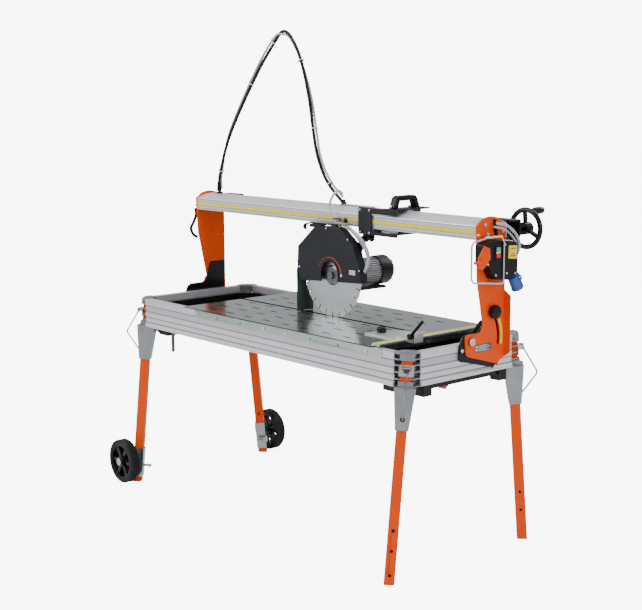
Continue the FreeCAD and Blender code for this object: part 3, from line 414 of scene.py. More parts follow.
FINISH_OF = {
    "long_rails": rail_finish("anodised_long_rail", "X", high("long_rails").z),
    "end_rails": rail_finish("anodised_end_rail", "Y", high("end_rails").z),
    "beam": drawn_metal("anodised_beam", (0.84, 0.82, 0.90), (0.30, 0.44), "X", Metallic=0.55),
    # painted shade on the walls of the table's slots
    "table_plates": galvanised("slotted_table_sheet", ZINC, ZINC_SHADE, slot_wall_shade=0.94),
    "angle_guide": drawn_metal(
        "guide_steel", (0.72, 0.73, 0.74), (0.28, 0.42), "Y", Metallic=0.8
    ),
    "water_tap": drawn_metal("plated_brass", (0.30, 0.29, 0.27), (0.22, 0.36), "X"),
    "blade": blade_finish("ground_blade", tuple(centre("blade"))),
    "spindle": cast_metal(
        "spindle_steel", (0.24, 0.26, 0.26), (0.15, 0.17, 0.17), (0.22, 0.36)
    ),
    "motor_body": cast_metal(
        "motor_casting", (0.50, 0.51, 0.53), (0.36, 0.37, 0.39), (0.3, 0.46)
    ),
    **{
        node: drawn_metal(f"{node}_wire", (0.34, 0.35, 0.37), (0.24, 0.38), "Z")
        for node in LATCHES
    },
    "splash_flap": moulded(
        "flap_rubber", (0.003, 0.022, 0.016), (0.35, 0.55), grain=160, depth=0.0003
    ),
}
YELLOW_X = tape_scale("yellow_scale_along_cut", "X")
YELLOW_Y = tape_scale("yellow_scale_across", "Y", ground=(0.66, 0.68, 0.20))
YELLOW_ARC = tape_scale("yellow_degree_scale", "Z", step=0.006)
HOSE = clear_hose("clear_hose", (0.74, 0.77, 0.78), 0.5)
RED_PAINT = coated("red_stripe", (0.62, 0.018, 0.010), (0.50, 0.012, 0.008), (0.3, 0.45))
GREY_HOSE = coated("grey_hose", (0.10, 0.11, 0.12), (0.07, 0.08, 0.09), (0.35, 0.5))
WHITE_LABEL = moulded("white_label", (0.78, 0.78, 0.75), (0.35, 0.5), depth=0.00003)
YELLOW_LABEL = moulded("yellow_label", (0.86, 0.62, 0.01), (0.35, 0.5), depth=0.00003)
# dark print on plates and labels, and painted shade at the beam's channels
DARK_LINE = coated("dark_print_and_channel_shade", (0.10, 0.10, 0.12), (0.07, 0.07, 0.08), (0.5, 0.7))


def finish_for(node):
    return FINISH_OF[node] if node in FINISH_OF else FINISH[SLOT_OF[node]]


# ---------------------------------------------------------------- mesh helpers


def add_piece(name, bm, finish, body, smooth=38):
    """Turn a bmesh into a named piece that rides on a body."""
    mesh = bpy.data.meshes.new(name)
    bm.normal_update()
    bm.to_mesh(mesh)
    bm.free()
    mesh.polygons.foreach_set("use_smooth", [True] * len(mesh.polygons))
    mesh.set_sharp_from_angle(angle=math.radians(smooth))
    mesh.materials.append(finish)
    piece = bpy.data.objects.new(name, mesh)
    bpy.context.scene.collection.objects.link(piece)
    if body:
        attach(piece, body)
    return piece


def round_edges(piece, width, segments=2):
    """Round every sharp edge of a piece and keep its flats flat."""
    bevel = piece.modifiers.new("rounded", "BEVEL")
    bevel.width = width
    bevel.segments = segments
    bevel.limit_method = "ANGLE"
    bevel.angle_limit = math.radians(35)
    bevel.harden_normals = False
    flats = piece.modifiers.new("flats", "WEIGHTED_NORMAL")
    flats.keep_sharp = False
    return piece


def refined(node, width, segments=2):
    """A copy of a CAD node with clean faces and rounded edges, standing for it."""
    bm = bmesh.new()
    bm.from_mesh(frame["nodes"][node].data)
    bmesh.ops.remove_doubles(bm, verts=bm.verts, dist=2e-6)
    bmesh.ops.dissolve_limit(bm, angle_limit=math.radians(0.6), verts=bm.verts, edges=bm.edges)
    bmesh.ops.connect_verts_concave(bm, faces=bm.faces)
    piece = add_piece(f"{node}_finished", bm, finish_for(node), BODY_OF[node])
    round_edges(piece, width, segments)
    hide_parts(node)
    return piece


def curve_points(points, steps=12):
    """A smooth Catmull-Rom run through points."""
    pts = [Vector(p) for p in points]
    pts = [pts[0] * 2 - pts[1]] + pts + [pts[-1] * 2 - pts[-2]]
    run = []
    for i in range(1, len(pts) - 2):
        a, b, c, e = pts[i - 1 : i + 3]
        for k in range(steps):
            t = k / steps
            square = (2 * a - 5 * b + 4 * c - e) * t**2
            cube = (3 * b - a - 3 * c + e) * t**3
            run.append(0.5 * (2 * b + (c - a) * t + square + cube))
    run.append(pts[-2])
    return run


def sweep(bm, run, radius, sides=16):
    """Sweep a circle along a run of points, inside a mesh, and close its ends."""
    normal = Vector((0, 0, 1))
    rings = []
    for i, p in enumerate(run):
        ahead = (run[min(i + 1, len(run) - 1)] - run[max(i - 1, 0)]).normalized()
        if abs(ahead.dot(normal)) > 0.97 and i == 0:
            normal = Vector((0, 1, 0))
        normal = (normal - ahead * normal.dot(ahead)).normalized()
        other = ahead.cross(normal)
        ring = []
        for k in range(sides):
            a = 2 * math.pi * k / sides
            spoke = normal * math.cos(a) + other * math.sin(a)
            ring.append(bm.verts.new(p + radius * spoke))
        rings.append(ring)
    for near, far in zip(rings, rings[1:]):
        for k in range(sides):
            j = (k + 1) % sides
            bm.faces.new((near[k], near[j], far[j], far[k]))
    bm.faces.new(rings[0][::-1])
    bm.faces.new(rings[-1])


def hose(name, points, radius, finish, body, steps=12):
    """A bent hose or cable."""
    bm = bmesh.new()
    sweep(bm, curve_points(points, steps), radius)
    return add_piece(name, bm, finish, body, smooth=60)


def spin(bm, origin, direction, profile, sides=48):
    """Spin a closed profile of (radius, height) about an axis, inside a mesh."""
    turn = Vector(direction).to_track_quat("Z", "Y").to_matrix()
    rings = []
    fresh = []
    for k in range(sides):
        a = 2 * math.pi * (k + 0.5) / sides
        ring = []
        for r, h in profile:
            offset = turn @ Vector((r * math.cos(a), r * math.sin(a), h))
            ring.append(bm.verts.new(Vector(origin) + offset))
        rings.append(ring)
        fresh += ring
    count = len(profile)
    for k in range(sides):
        here, there = rings[k], rings[(k + 1) % sides]
        for i in range(count):
            j = (i + 1) % count
            bm.faces.new((here[i], there[i], there[j], here[j]))
    bmesh.ops.remove_doubles(bm, verts=fresh, dist=1e-6)


def lathe(name, origins, direction, profile, finish, body, sides=48):
    """One piece made of the same turned shape at each origin."""
    bm = bmesh.new()
    for origin in origins:
        spin(bm, origin, direction, profile, sides)
    bmesh.ops.recalc_face_normals(bm, faces=bm.faces)
    return add_piece(name, bm, finish, body)


def screw_heads(name, origins, direction, radius, height, body):
    """Bright hexagon heads on washers."""
    washer = radius * 1.3
    profile = [
        (0, 0),
        (washer, 0),
        (washer, height * 0.22),
        (radius, height * 0.24),
        (radius, height * 0.82),
        (radius * 0.86, height),
        (0, height),
    ]
    return lathe(name, origins, direction, profile, STEEL, body, 6)


def prism(bm, plane, start, depth, outline):
    """Extrude an outline of the XY, XZ or YZ plane along the third axis, inside a mesh."""
    order = {"XY": (0, 1, 2), "XZ": (0, 2, 1), "YZ": (1, 2, 0)}[plane]

    def put(u, v, w):
        p = [0, 0, 0]
        p[order[0]], p[order[1]], p[order[2]] = u, v, w
        return bm.verts.new(p)

    near = [put(u, v, start) for u, v in outline]
    far = [put(u, v, start + depth) for u, v in outline]
    bm.faces.new(near)
    bm.faces.new(far[::-1])
    for i in range(len(outline)):
        j = (i + 1) % len(outline)
        bm.faces.new((near[i], far[i], far[j], near[j]))


def slabs(name, plane, start, depth, outlines, finish, body, width=0.0008):
    """One piece made of flat plates, each an extruded outline; edges rounded unless width is 0."""
    bm = bmesh.new()
    for outline in outlines:
        prism(bm, plane, start, depth, outline)
    bmesh.ops.recalc_face_normals(bm, faces=bm.faces)
    piece = add_piece(name, bm, finish, body)
    if width:
        round_edges(piece, width)
    return piece


def window(name, start, depth, outer, inner, finish, body):
    """A flat rim in the YZ plane between two outlines with the same number of corners."""
    bm = bmesh.new()
    loops = []
    for x in (start, start + depth):
        for outline in (outer, inner):
            loops.append([bm.verts.new((x, y, z)) for y, z in outline])
    back_out, back_in, front_out, front_in = loops
    for i in range(len(outer)):
        j = (i + 1) % len(outer)
        bm.faces.new((back_out[i], back_out[j], back_in[j], back_in[i]))
        bm.faces.new((front_out[i], front_in[i], front_in[j], front_out[j]))
        bm.faces.new((back_out[i], front_out[i], front_out[j], back_out[j]))
        bm.faces.new((back_in[i], back_in[j], front_in[j], front_in[i]))
    bmesh.ops.recalc_face_normals(bm, faces=bm.faces)
    return round_edges(add_piece(name, bm, finish, body), 0.0006)


def box_outline(u0, u1, v0, v1):
    return [(u0, v0), (u1, v0), (u1, v1), (u0, v1)]


def arc(centre_u, centre_v, radius, first, last, steps=24):
    """Points along an arc, in degrees."""
    points = []
    for i in range(steps + 1):
        a = math.radians(first + (last - first) * i / steps)
        points.append((centre_u + radius * math.cos(a), centre_v + radius * math.sin(a)))
    return points


def off(point, x, y, z):
    """A point moved by millimetres."""
    return Vector(point) + Vector((x, y, z)) * MM


# ---------------------------------------------------------------- CAD nodes

# edge radius of every node that gets a refined copy
ROUNDED = {
    "corner_castings": 0.0022,
    "latch_clips": 0.0008,
    "tilt_brackets": 0.0012,
    "towers": 0.0014,
    "fence_bar": 0.0008,
    "angle_guide": 0.0007,
    "fence_lever": 0.0010,
    "guide_knob": 0.0010,
    "drain_plug": 0.0015,
    "water_pump": 0.0030,
    "bridge_bolts": 0.0008,
    "frame_screws": 0.0008,
    "pulley_brackets": 0.0012,
    "switch_box": 0.0060,
    "power_inlet": 0.0010,
    "laser_unit": 0.0012,
    "start_button": 0.0015,
    "stop_button": 0.0015,
    "carriage_frame": 0.0010,
    "carriage_handle": 0.0045,
    "head_arm": 0.0020,
    "blade_guard": 0.0016,
    "motor_covers": 0.0030,
    "tap_lever": 0.0010,
    "water_tap": 0.0010,
    "wheel_bracket_front": 0.0010,
    "wheel_bracket_back": 0.0010,
    "wheel_rim_front": 0.0012,
    "wheel_rim_back": 0.0012,
    "leg_front_left": 0.0022,
    "leg_front_right": 0.0022,
    "leg_back_left": 0.0022,
    "leg_back_right": 0.0022,
    "table_edge_strips": 0.0004,
    "water_tub": 0.0030,
}


def thicken_wire(node):
    """Latch wire with a coat that makes it slightly fuller than the CAD wire."""
    piece = refined(node, 0.0002, segments=1)
    coat = piece.modifiers.new("coat", "DISPLACE")
    coat.mid_level = 0
    coat.strength = 0.0006


def dress_nodes():
    """Give every CAD node its finish, and refine those that need rounder edges."""
    for node, obj in frame["nodes"].items():
        finish = finish_for(node)
        if not obj.data.materials:
            obj.data.materials.append(finish)
        for slot in obj.material_slots:
            slot.link = "OBJECT"
            slot.material = finish
        if node in ROUNDED:
            refined(node, ROUNDED[node])
        elif node in LATCHES:
            thicken_wire(node)


# ---------------------------------------------------------------- umbilical, hoses and cables


def make_umbilical():
    """Black cable and clear hose in a tall loop from the beam to an arm on the carriage."""
    lo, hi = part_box("umbilical")
    y = lo.y + 0.010
    start = Vector((lo.x + 0.007, y, lo.z + 0.002))
    end = Vector((hi.x - 0.004, y, high("beam").z + 0.004))
    top = Vector((lo.x + 0.43, y, hi.z - 0.012))
    shape = [
        start,
        off(start, 10, 0, 65),
        off(start, 84, 0, 226),
        off(start, 263, -4, 455),
        off(start, 385, -4, 582),
        top,
        off(top, 48, 0, -22),
        off(top, 104, 0, -108),
        off(top, 148, 0, -240),
        off(top, 175, 0, -376),
        off(end, -150, 0, 178),
        off(end, -117, 0, 110),
        off(end, -75, 0, 59),
        end,
    ]
    cable = hose("umbilical_cable", shape, 0.0062, CABLE, None, steps=16)
    aside = [(0, 12, 0), (-4, 11, 0), (-10, 3, 4), (-11, -2, 5), (-10, -4, 6)]
    aside += [(2, -4, -11), (-8, 4, -6), (-8, 8, -3), (0, 12, 0), (10, 7, 0)]
    aside += [(11, 5, 0), (10, 5, 4), (9, 6, 6), (-20, 12, 24)]
    beside = [off(p, *step) for p, step in zip(shape, aside)]
    water = hose("umbilical_hose", beside, 0.0046, HOSE, None, steps=16)
    bm = bmesh.new()
    run = curve_points(shape)
    tube = curve_points(beside)
    tie_steps = (13, 34, 47, 84, 106, 142)
    for i in tie_steps:
        middle = (run[i] + tube[i]) / 2
        ahead = (run[i + 1] - run[i - 1]).normalized() * 0.0016
        sweep(bm, [middle - ahead, middle + ahead], 0.0122, 14)
    ties = add_piece("umbilical_ties", bm, FINISH["white_plastic"], None)
    for piece in (cable, water, ties):
        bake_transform(piece)
    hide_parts("umbilical")
    grip = [(0, 0), (0.0095, 0), (0.0095, 0.012), (0.0075, 0.026), (0.0075, 0.034), (0, 0.034)]
    socket = [off(start, 0, 0, -7)]
    lathe("umbilical_socket_nut", socket, (0, 0, 1), grip, PLASTIC, "bridge", 8)
    edge = low("carriage_frame").x
    arm = box_outline(end.x - 0.012, edge + 0.004, y - 0.009, y + 0.009)
    under = high("beam").z + 0.0022
    slabs("umbilical_arm", "XY", under, 0.0022, [arm], STEEL, "carriage")
    foot = [(0, 0), (0.011, 0), (0.011, 0.004), (0.0085, 0.007), (0.0085, 0.016), (0, 0.016)]
    base = [off(end, 0, 0, -1)]
    lathe("umbilical_grip", base, (-0.25, 0, 1), foot, PLASTIC, "carriage", 24)


def make_hoses():
    """Water hoses on the guard, at the tap and switch box, and hoses and cables to the tub."""
    hub = centre("blade")
    low_run = [(62, 192), (101, 175), (145, 151), (177, 121), (194, 85), (188, 55), (172, 30)]
    high_run = [(48, 187), (88, 170), (127, 143), (162, 111), (179, 78), (172, 48), (162, 23)]
    for name, run, y in (("outer", low_run, -4), ("inner", high_run, 5)):
        spots = [off(hub, x, y, z) for x, z in run]
        hose(f"guard_hose_{name}", spots, 0.0048, HOSE, "head")
    clamp = [(0.0048, 0), (0.0066, 0), (0.0066, 0.007), (0.0048, 0.007)]
    end = [off(hub, 60, -4, 189)]
    lathe("guard_hose_nut", end, (0.8, 0, -0.35), clamp, FINISH["brass"], "head", 24)

    tap = Vector((hub.x, low("beam").y, high("beam").z))
    loop = [
        off(tap, -62, 78, 40),
        off(tap, -52, 52, 52),
        off(tap, -28, 12, 48),
        off(tap, -20, -14, 26),
        off(tap, -20, -20, 2),
        off(tap, -8, -20, -22),
        off(tap, 18, -20, -40),
        off(tap, 44, -22, -50),
    ]
    tube = hose("tap_hose", loop, 0.0046, HOSE, None)
    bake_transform(tube)

    case = high("switch_box")
    top = Vector((case.x - 0.011, 0, case.z))
    run = [(-7, 92, 50), (-5, 141, 38), (0, 177, 9), (0, 195, -20), (-2, 193, -48)]
    run.append((-8, 178, -76))
    back = [off(top, *step) for step in run]
    hose("box_hose_outer", back, 0.0048, HOSE, "bridge")
    inner = [off(p, -1, -11, -11) for p in back[:-2]] + [off(back[-2], -8, -9, 0)]
    hose("box_hose_inner", inner, 0.0036, HOSE, "bridge")

    tower = low("towers")
    start = Vector((high("beam").x - 0.003, tower.y + 0.083, tower.z + 0.150))
    drop = [start, off(start, -15, -13, -29), off(start, -30, -24, -49), off(start, -45, -34, -66)]
    drop.append(off(start, -52, -38, -104))
    feed = hose("tub_feed_hose", drop, 0.0050, CABLE, None)
    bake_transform(feed)
    beside = [off(p, -2, 12, -3) for p in drop]
    wire = hose("tub_pump_cable", beside, 0.0034, CABLE, None)
    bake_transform(wire)

    outlet = off(low("water_tub"), 185, 6, 34)
    fall = [(0, 0, 0), (0, 0, -28), (3, -2, -55), (0, 0, -80)]
    hose("overflow_hose", [off(outlet, *step) for step in fall], 0.0065, GREY_HOSE, "frame")

    side, crown = low("beam").x - 0.0165, high("towers").z - 0.042
    bend = [(44, -28), (45, -58), (30, -89), (19, -109), (28, -133), (48, -148)]
    coil = [Vector((side, y * MM - 0.017, crown + z * MM)) for y, z in bend]
    hose("left_tower_cable", coil, 0.0060, CABLE, "bridge")


def make_flap():
    """Rubber splash flap: a curved sheet reaching down to the table."""
    lo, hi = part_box("splash_flap")
    top, bottom = hi.z, table_top() + 0.0015
    bm = bmesh.new()
    rows, columns = 28, 14
    grid = []
    for i in range(rows + 1):
        t = i / rows
        z = top + (bottom - top) * t
        left = lo.y + 0.004 - 0.009 * t
        flare = min(1, max(0, (t - 0.35) / 0.5))
        right = hi.y - 0.016 + 0.028 * flare * flare * (3 - 2 * flare)
        half = (right - left) / 2
        middle = (right + left) / 2
        out = 0.0015 * t**1.5
        row = []
        for k in range(columns + 1):
            s = 2 * k / columns - 1
            curl = 0.012 * t * s * s + 0.0012 * t * (1 + math.sin(9 * t + 2 * s))
            row.append(bm.verts.new((hi.x - 0.001 - out + curl, middle + half * s, z)))
        grid.append(row)
    for i in range(rows):
        for k in range(columns):
            corners = (grid[i][k], grid[i][k + 1], grid[i + 1][k + 1], grid[i + 1][k])
            bm.faces.new(corners)
    flap = add_piece("splash_flap_rubber", bm, FINISH_OF["splash_flap"], "head", smooth=60)
    thick = flap.modifiers.new("thickness", "SOLIDIFY")
    thick.thickness = 0.003
    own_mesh(flap)
    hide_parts("splash_flap")


# ---------------------------------------------------------------- scales


def make_scales():
    """Yellow tapes on the beam, the fence and the tilt slot, and painted shade lines at the beam's
    narrow channels.
    """
    beam_low, beam_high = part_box("beam")
    z = beam_low.z + 0.0175
    x = beam_high.x - 0.004
    face = beam_low.y - 0.0004
    tape = box_outline(-x, x, z, z + 0.0115)
    slabs("beam_scale", "XZ", face, 0.0005, [tape], YELLOW_X, "bridge", width=0)
    # painted shade: thin dark strips on the beam face at its narrow channels
    lines = []
    for height, thick in ((0.0165, 0.0009), (0.0297, 0.0009), (0.0065, 0.0012), (0.0420, 0.0012)):
        lines.append(box_outline(-x, x, beam_low.z + height - thick, beam_low.z + height))
    slabs("beam_channel_shade", "XZ", face + 0.0002, 0.0003, lines, DARK_LINE, "bridge", width=0)

    fence_low, fence_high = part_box("fence_bar")
    inset = Vector((0.0015, 0.003, 0))
    near, far = fence_low + inset, fence_high - inset
    tape = box_outline(near.x, far.x, near.y, far.y)
    slabs("fence_scale", "XY", far.z - 0.0001, 0.0005, [tape], YELLOW_Y, "frame", width=0)

    pivot_z = table_top() + 0.003
    band = arc(0, pivot_z, 0.1525, -9, 24) + arc(0, pivot_z, 0.1415, 24, -9)
    side = beam_high.x + 0.0049
    slabs("tilt_scale", "YZ", side, 0.0007, [band], YELLOW_ARC, "bridge", width=0)


# ---------------------------------------------------------------- small fittings


def dress_guard():
    """Stripe, trim, rivets, plain plate, top tab and tap fittings on the blade guard."""
    hub = centre("blade")
    face = low("blade_guard").y
    middle = (hub.x + 0.008, hub.z + 0.002)
    outer = arc(*middle, 0.066, 158, 12, 40)
    inner = []
    for i in range(41):
        a = math.radians(12 + 146 * i / 40)
        radius = 0.0600 + 0.0045 * min(1, i / 26)
        inner.append((middle[0] + radius * math.cos(a), middle[1] + radius * math.sin(a)))
    print_y = face - 0.0006
    band = outer + inner
    slabs("guard_stripe", "XZ", print_y, 0.0008, [band], RED_PAINT, "head", width=0)
    tip = arc(*middle, 0.066, 1, 10, 6) + arc(*middle, 0.058, 10, 1, 6)
    slabs("guard_stripe_tip", "XZ", print_y, 0.0008, [tip], WHITE_LABEL, "head", width=0)

    bm = bmesh.new()
    edge = [(hub.x - 0.038, hub.z - 0.020)]
    edge += arc(hub.x + 0.008, hub.z + 0.008, 0.046, 180, 0, 20)
    edge += [(hub.x + 0.054, hub.z - 0.016)]
    sweep(bm, [Vector((x, face - 0.0002, z)) for x, z in edge], 0.0022, 10)
    add_piece("guard_window_trim", bm, CABLE, "head", 60)

    dome = [(0, 0), (0.0032, 0), (0.0030, 0.0009), (0.0019, 0.0016), (0, 0.0018)]
    spots = [(-11, 169), (104, 138), (-162, 17), (163, 33)]
    rivets = [Vector((hub.x + x * MM, face + 0.0001, hub.z + z * MM)) for x, z in spots]
    lathe("guard_rivets", rivets, (0, -1, 0), dome, STEEL, "head", 16)

    plate = box_outline(hub.x + 0.113, hub.x + 0.143, hub.z + 0.016, hub.z + 0.032)
    front = face - 0.0007
    slabs("guard_plate", "XZ", front, 0.0009, [plate], WHITE_LABEL, "head", width=0.0003)
    bars = []
    for k in range(3):
        z = hub.z + 0.0195 + 0.0038 * k
        end = hub.x + 0.1405 - 0.006 * (k == 0)
        bars.append(box_outline(hub.x + 0.1155, end, z, z + 0.0016))
    slabs("guard_plate_bars", "XZ", face - 0.0010, 0.0006, bars, DARK_LINE, "head", width=0)

    top = high("blade_guard").z
    tab = [(42, 0), (34, 3), (-110, 1), (-140, -6), (-150, -17), (-143, -29)]
    tab += [(-138, -28), (-142, -17), (-132, -9), (-108, -4), (-60, -3), (40, -4)]
    shape = [(hub.x + x * MM, top + z * MM) for x, z in tab]
    slabs("guard_top_tab", "XZ", -0.0150, 0.012, [shape], PLASTIC, "head", width=0.0010)

    knob = [(0, 0), (0.0040, 0), (0.0040, 0.005), (0.0078, 0.006), (0.0078, 0.015)]
    knob += [(0.0055, 0.018), (0, 0.018)]
    lathe("tap_knob", [off(hub, 77, -6, 196)], (0.4, -0.5, 0.75), knob, PLASTIC, "head", 10)
    nut = [(0, 0), (0.0062, 0), (0.0062, 0.008), (0.0048, 0.010), (0.0048, 0.016), (0, 0.016)]
    lathe("tap_nut", [off(hub, 74, -8, 184)], (0.85, 0, -0.5), nut, FINISH["brass"], "head", 6)


def dress_motor():
    """Cooling grille on the fan cover, and screws round its edge."""
    covers = high("motor_covers")
    hub = centre("blade")
    bm = bmesh.new()
    for r in (0.012, 0.020, 0.028, 0.036, 0.044):
        profile = [(r - 0.0014, 0), (r + 0.0014, 0), (r + 0.0011, 0.0016), (r - 0.0011, 0.0016)]
        spin(bm, (hub.x, covers.y - 0.0005, hub.z), (0, 1, 0), profile)
    for k in range(6):
        a = math.radians(60 * k + 15)
        ray = Vector((math.cos(a), 0, math.sin(a)))
        base = Vector((hub.x, covers.y + 0.0002, hub.z))
        sweep(bm, [base + ray * 0.010, base + ray * 0.046], 0.0014, 8)
    add_piece("fan_grille", bm, PLASTIC, "head")
    spots = []
    for k in range(4):
        a = math.radians(90 * k + 45)
        x, z = hub.x + 0.0485 * math.cos(a), hub.z + 0.0485 * math.sin(a)
        spots.append(Vector((x, covers.y - 0.0006, z)))
    screw_heads("fan_cover_screws", spots, (0, 1, 0), 0.0028, 0.0022, "head")


def dress_carriage():
    """Screws on the carriage's front plate and at the foot of its handle."""
    lo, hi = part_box("carriage_frame")
    spots = [off((lo.x, lo.y, lo.z), 9, 0, 36), off((lo.x, lo.y, lo.z), 57, 0, 36)]
    spots += [off((lo.x, lo.y, hi.z), 9, 0, -10), off((lo.x, lo.y, hi.z), 57, 0, -10)]
    screw_heads("carriage_screws", spots, (0, -1, 0), 0.0036, 0.0034, "carriage")
    grip_low, grip_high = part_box("carriage_handle")
    x = (grip_low.x + grip_high.x) / 2
    z = grip_low.z + 0.0075
    for name, y, way in (
        ("handle_screws", grip_low.y - 0.001, -0.9),
        ("handle_screws_back", grip_high.y + 0.001, 0.9),
    ):
        screw_heads(name, [Vector((x, y, z))], (0, way, 0.4), 0.0040, 0.0030, "carriage")


def dress_switch_box():
    """Button bezel and divider, plain label, screws and inlet collar on the switch box."""
    lo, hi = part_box("switch_box")
    face = hi.x
    start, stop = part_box("start_button"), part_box("stop_button")
    y0, y1 = stop[0].y - 0.007, start[1].y + 0.007
    z0, z1 = stop[0].z - 0.006, start[1].z + 0.006
    play = 0.0014
    hole = box_outline(stop[0].y - play, start[1].y + play, stop[0].z - play, start[1].z + play)
    rim = box_outline(y0, y1, z0, z1)
    window("button_bezel", face - 0.0006, 0.0030, rim, hole, PLASTIC, "bridge")
    gap = (stop[1].z + start[0].z) / 2
    split = box_outline(y0 + 0.004, y1 - 0.004, gap - 0.0022, gap + 0.0022)
    back = face - 0.0004
    slabs("button_divider", "YZ", back, 0.0024, [split], WHITE_LABEL, "bridge", width=0.0004)

    label = [(118, 113), (158, 111), (158, 70), (154, 67), (119, 71), (116, 74)]
    outline = [(lo.y + y * MM, lo.z + z * MM) for y, z in label]
    back = face - 0.0003
    slabs("box_label", "YZ", back, 0.0007, [outline], YELLOW_LABEL, "bridge", width=0.0003)
    bars = []
    for first, last, base in ((125, 151, 77), (129, 147, 83), (125, 151, 101)):
        bottom, top = lo.z + base * MM, lo.z + (base + 3) * MM
        bars.append(box_outline(lo.y + first * MM, lo.y + last * MM, bottom, top))
    slabs("box_label_bars", "YZ", face + 0.0002, 0.0005, bars, DARK_LINE, "bridge", width=0)
    spots = [(20, 60), (58, 22), (100, 118), (152, 20), (110, 24), (24, 108)]
    heads = [Vector((face - 0.0002, lo.y + y * MM, lo.z + z * MM)) for y, z in spots]
    round_head = [(0, 0), (0.0040, 0), (0.0038, 0.0010), (0.0022, 0.0020), (0, 0.0022)]
    lathe("box_screws", heads, (1, 0, 0), round_head, STEEL, "bridge", 16)

    inlet_low, inlet_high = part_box("power_inlet")
    aim = Vector((0, 0.52, -0.854)).normalized()
    mouth = Vector((centre("power_inlet").x, inlet_high.y - 0.018, inlet_low.z + 0.020))
    ring = [(0.0185, 0), (0.0222, 0), (0.0228, 0.003), (0.0228, 0.008), (0.0185, 0.008)]
    lathe("inlet_collar", [mouth - aim * 0.030], aim, ring, FINISH["blue_plastic"], "bridge")


def dress_tower():
    """Data plate with plain bars on the right tower."""
    face = high("beam").x + 0.005
    foot = low("towers")
    corner = Vector((face, foot.y + 0.045, foot.z + 0.049))
    plate = box_outline(corner.y, corner.y + 0.080, corner.z, corner.z + 0.026)
    slabs("data_plate", "YZ", face - 0.0002, 0.0009, [plate], DARK_LINE, "bridge", width=0.0003)
    bars = []
    for k in range(4):
        z = corner.z + 0.004 + 0.0055 * k
        end = corner.y + 0.070 - 0.012 * (k % 2)
        bars.append(box_outline(corner.y + 0.016, end, z, z + 0.0016))
    for k in range(2):
        z = corner.z + 0.005 + 0.010 * k
        bars.append(box_outline(corner.y + 0.004, corner.y + 0.011, z, z + 0.006))
    slabs("data_plate_bars", "YZ", face + 0.0004, 0.0006, bars, WHITE_LABEL, "bridge", width=0)


def dress_frame_fittings():
    """Plugs on the right legs, grommets at the latch pins and painted shade discs at the holes in
    the edge strips.
    """
    cap = [(0, 0), (0.0052, 0), (0.0050, 0.0012), (0.0030, 0.0022), (0, 0.0024)]
    ring = [(0.0042, 0), (0.0078, 0), (0.0078, 0.003), (0.0068, 0.004), (0.0042, 0.004)]
    for side, front in ((1, -1), (-1, -1), (1, 1), (-1, 1)):
        name = f"leg_{'front' if front < 0 else 'back'}_{'right' if side > 0 else 'left'}"
        out = Vector((side, front, 0)).normalized()
        facing = Vector((1, -1, 0)).normalized()

        def on_leg(z):
            return Vector((side * LEG_X, front * (LEG_FOOT_Y - z * LEG_LEAN), z))

        if side > 0:
            plugs = [on_leg(z) + facing * 0.0170 for z in ADJUSTER_HEIGHTS]
            lathe(f"{name}_plugs", plugs, facing, cap, PLASTIC, name, 20)
        pin = [on_leg(PIN_HEIGHT) + out * 0.0235]
        lathe(f"{name}_pin_grommet", pin, (out.x, out.y, -0.1), ring, CABLE, "frame", 28)
    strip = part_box("table_edge_strips")
    # painted shade: flat black discs at the holes in the edge strips
    dot = [(0, 0), (0.0034, 0), (0.0034, 0.0003), (0, 0.0004)]
    hole_x = (-0.225, -0.084, 0.304, 0.445)
    for name, y, way in (("front", strip[0].y + 0.0004, -1), ("back", strip[1].y - 0.0004, 1)):
        spots = [Vector((x, y, table_top() - 0.018)) for x in hole_x]
        lathe(f"strip_hole_shade_{name}", spots, (0, way, 0), dot, PLASTIC, "frame", 20)


# ---------------------------------------------------------------- studio


def make_sky():
    """White behind the object; as light, dimmer at the horizon and brighter above."""
    world = bpy.data.worlds.new("studio")
    bpy.context.scene.world = world
    world.use_nodes = True
    nodes, links = world.node_tree.nodes, world.node_tree.links
    sky = nodes["Background"]
    ramp = nodes.new("ShaderNodeValToRGB")
    ramp.color_ramp.elements[0].position = 0.30
    ramp.color_ramp.elements[0].color = (0.42, 0.42, 0.44, 1)
    ramp.color_ramp.elements[1].position = 1.0
    ramp.color_ramp.elements[1].color = (1, 1, 1, 1)
    for position, value in ((0.50, 0.20), (0.57, 0.60), (0.72, 0.95)):
        ramp.color_ramp.elements.new(position).color = (value, value, value * 1.03, 1)
    where = nodes.new("ShaderNodeNewGeometry")
    split = nodes.new("ShaderNodeSeparateXYZ")
    height = nodes.new("ShaderNodeMapRange")
    height.inputs["From Min"].default_value = 1
    height.inputs["From Max"].default_value = -1
    links.new(where.outputs["Incoming"], split.inputs[0])
    links.new(split.outputs["Z"], height.inputs["Value"])
    links.new(height.outputs["Result"], ramp.inputs["Fac"])
    links.new(ramp.outputs["Color"], sky.inputs["Color"])
    sky.inputs["Strength"].default_value = 0.75
    white = nodes.new("ShaderNodeBackground")
    white.inputs["Strength"].default_value = 11.0
    seen = nodes.new("ShaderNodeLightPath")
    pick = nodes.new("ShaderNodeMixShader")
    links.new(seen.outputs["Is Camera Ray"], pick.inputs[0])
    links.new(sky.outputs[0], pick.inputs[1])
    links.new(white.outputs[0], pick.inputs[2])
    links.new(pick.outputs[0], nodes["World Output"].inputs["Surface"])


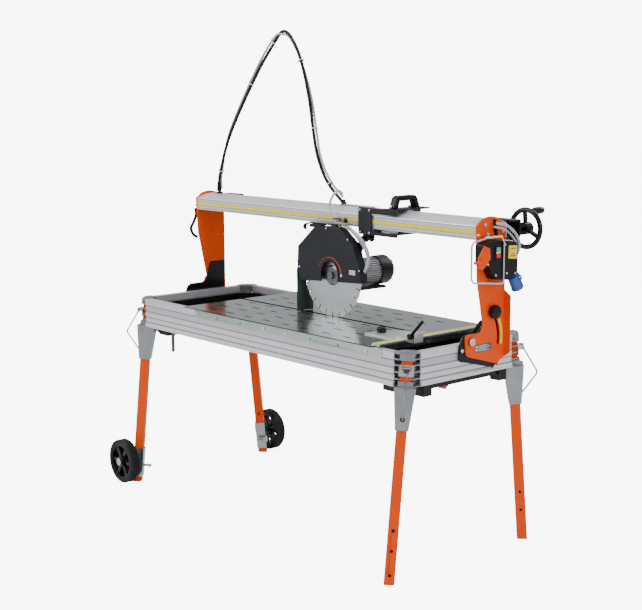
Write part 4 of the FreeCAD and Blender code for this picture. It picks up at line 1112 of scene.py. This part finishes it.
def make_studio():
    """Pale floor, soft lights and the camera."""
    bm = bmesh.new()
    bmesh.ops.create_grid(bm, x_segments=1, y_segments=1, size=30)
    mesh = bpy.data.meshes.new("floor")
    bm.to_mesh(mesh)
    bm.free()
    floor = bpy.data.objects.new("floor", mesh)
    bpy.context.scene.collection.objects.link(floor)
    paint = Finish("pale_floor", Roughness=0.9, Specular_IOR_Level=0.1)
    paint.set(Base_Color=paint.mix(paint.noise(0.7, 3), (0.86, 0.86, 0.86), (0.84, 0.84, 0.84)))
    paint.set(Emission_Color=(1, 1, 1))
    seen = paint.node("ShaderNodeLightPath").outputs["Is Camera Ray"]
    paint.set(Emission_Strength=paint.math("MULTIPLY", seen, 7.5))
    mesh.materials.append(paint.material)

    make_sky()
    middle = Vector((0, 0, 0.8))
    for name, at, size, power in (
        ("key", (-2.2, -3.4, 3.0), 2.4, 120),
        ("side", (4.4, -0.6, 2.0), 1.8, 60),
        ("back", (0.5, 3.8, 3.2), 2.6, 60),
        ("top", (0.0, -0.4, 4.6), 2.6, 60),
    ):
        light = bpy.data.lights.new(name, "AREA")
        light.size = size
        light.energy = power
        lamp = bpy.data.objects.new(name, light)
        lamp.location = at
        lamp.rotation_euler = (middle - Vector(at)).to_track_quat("-Z", "Y").to_euler()
        bpy.context.scene.collection.objects.link(lamp)

    azimuth, elevation, roll = math.radians(49.38), math.radians(9.43), math.radians(-0.28)
    distance = 4.6717
    target = Vector((0.0333, 0.0004, 0.7749))
    level = math.cos(elevation)
    back = Vector((math.sin(azimuth) * level, -math.cos(azimuth) * level, math.sin(elevation)))
    camera = bpy.data.objects.new("camera", bpy.data.cameras.new("camera"))
    camera.data.sensor_width = 36
    camera.data.lens = 71.8
    camera.data.clip_end = 100
    aim = (-back).to_track_quat("-Z", "Y").to_matrix().to_4x4()
    place = Matrix.Translation(target + back * distance)
    camera.matrix_world = place @ aim @ Matrix.Rotation(roll, 4, "Z")
    bpy.context.scene.collection.objects.link(camera)
    bpy.context.scene.camera = camera


dress_nodes()
make_umbilical()
make_hoses()
make_flap()
make_scales()
dress_guard()
dress_motor()
dress_carriage()
dress_switch_box()
dress_tower()
dress_frame_fittings()
make_studio()
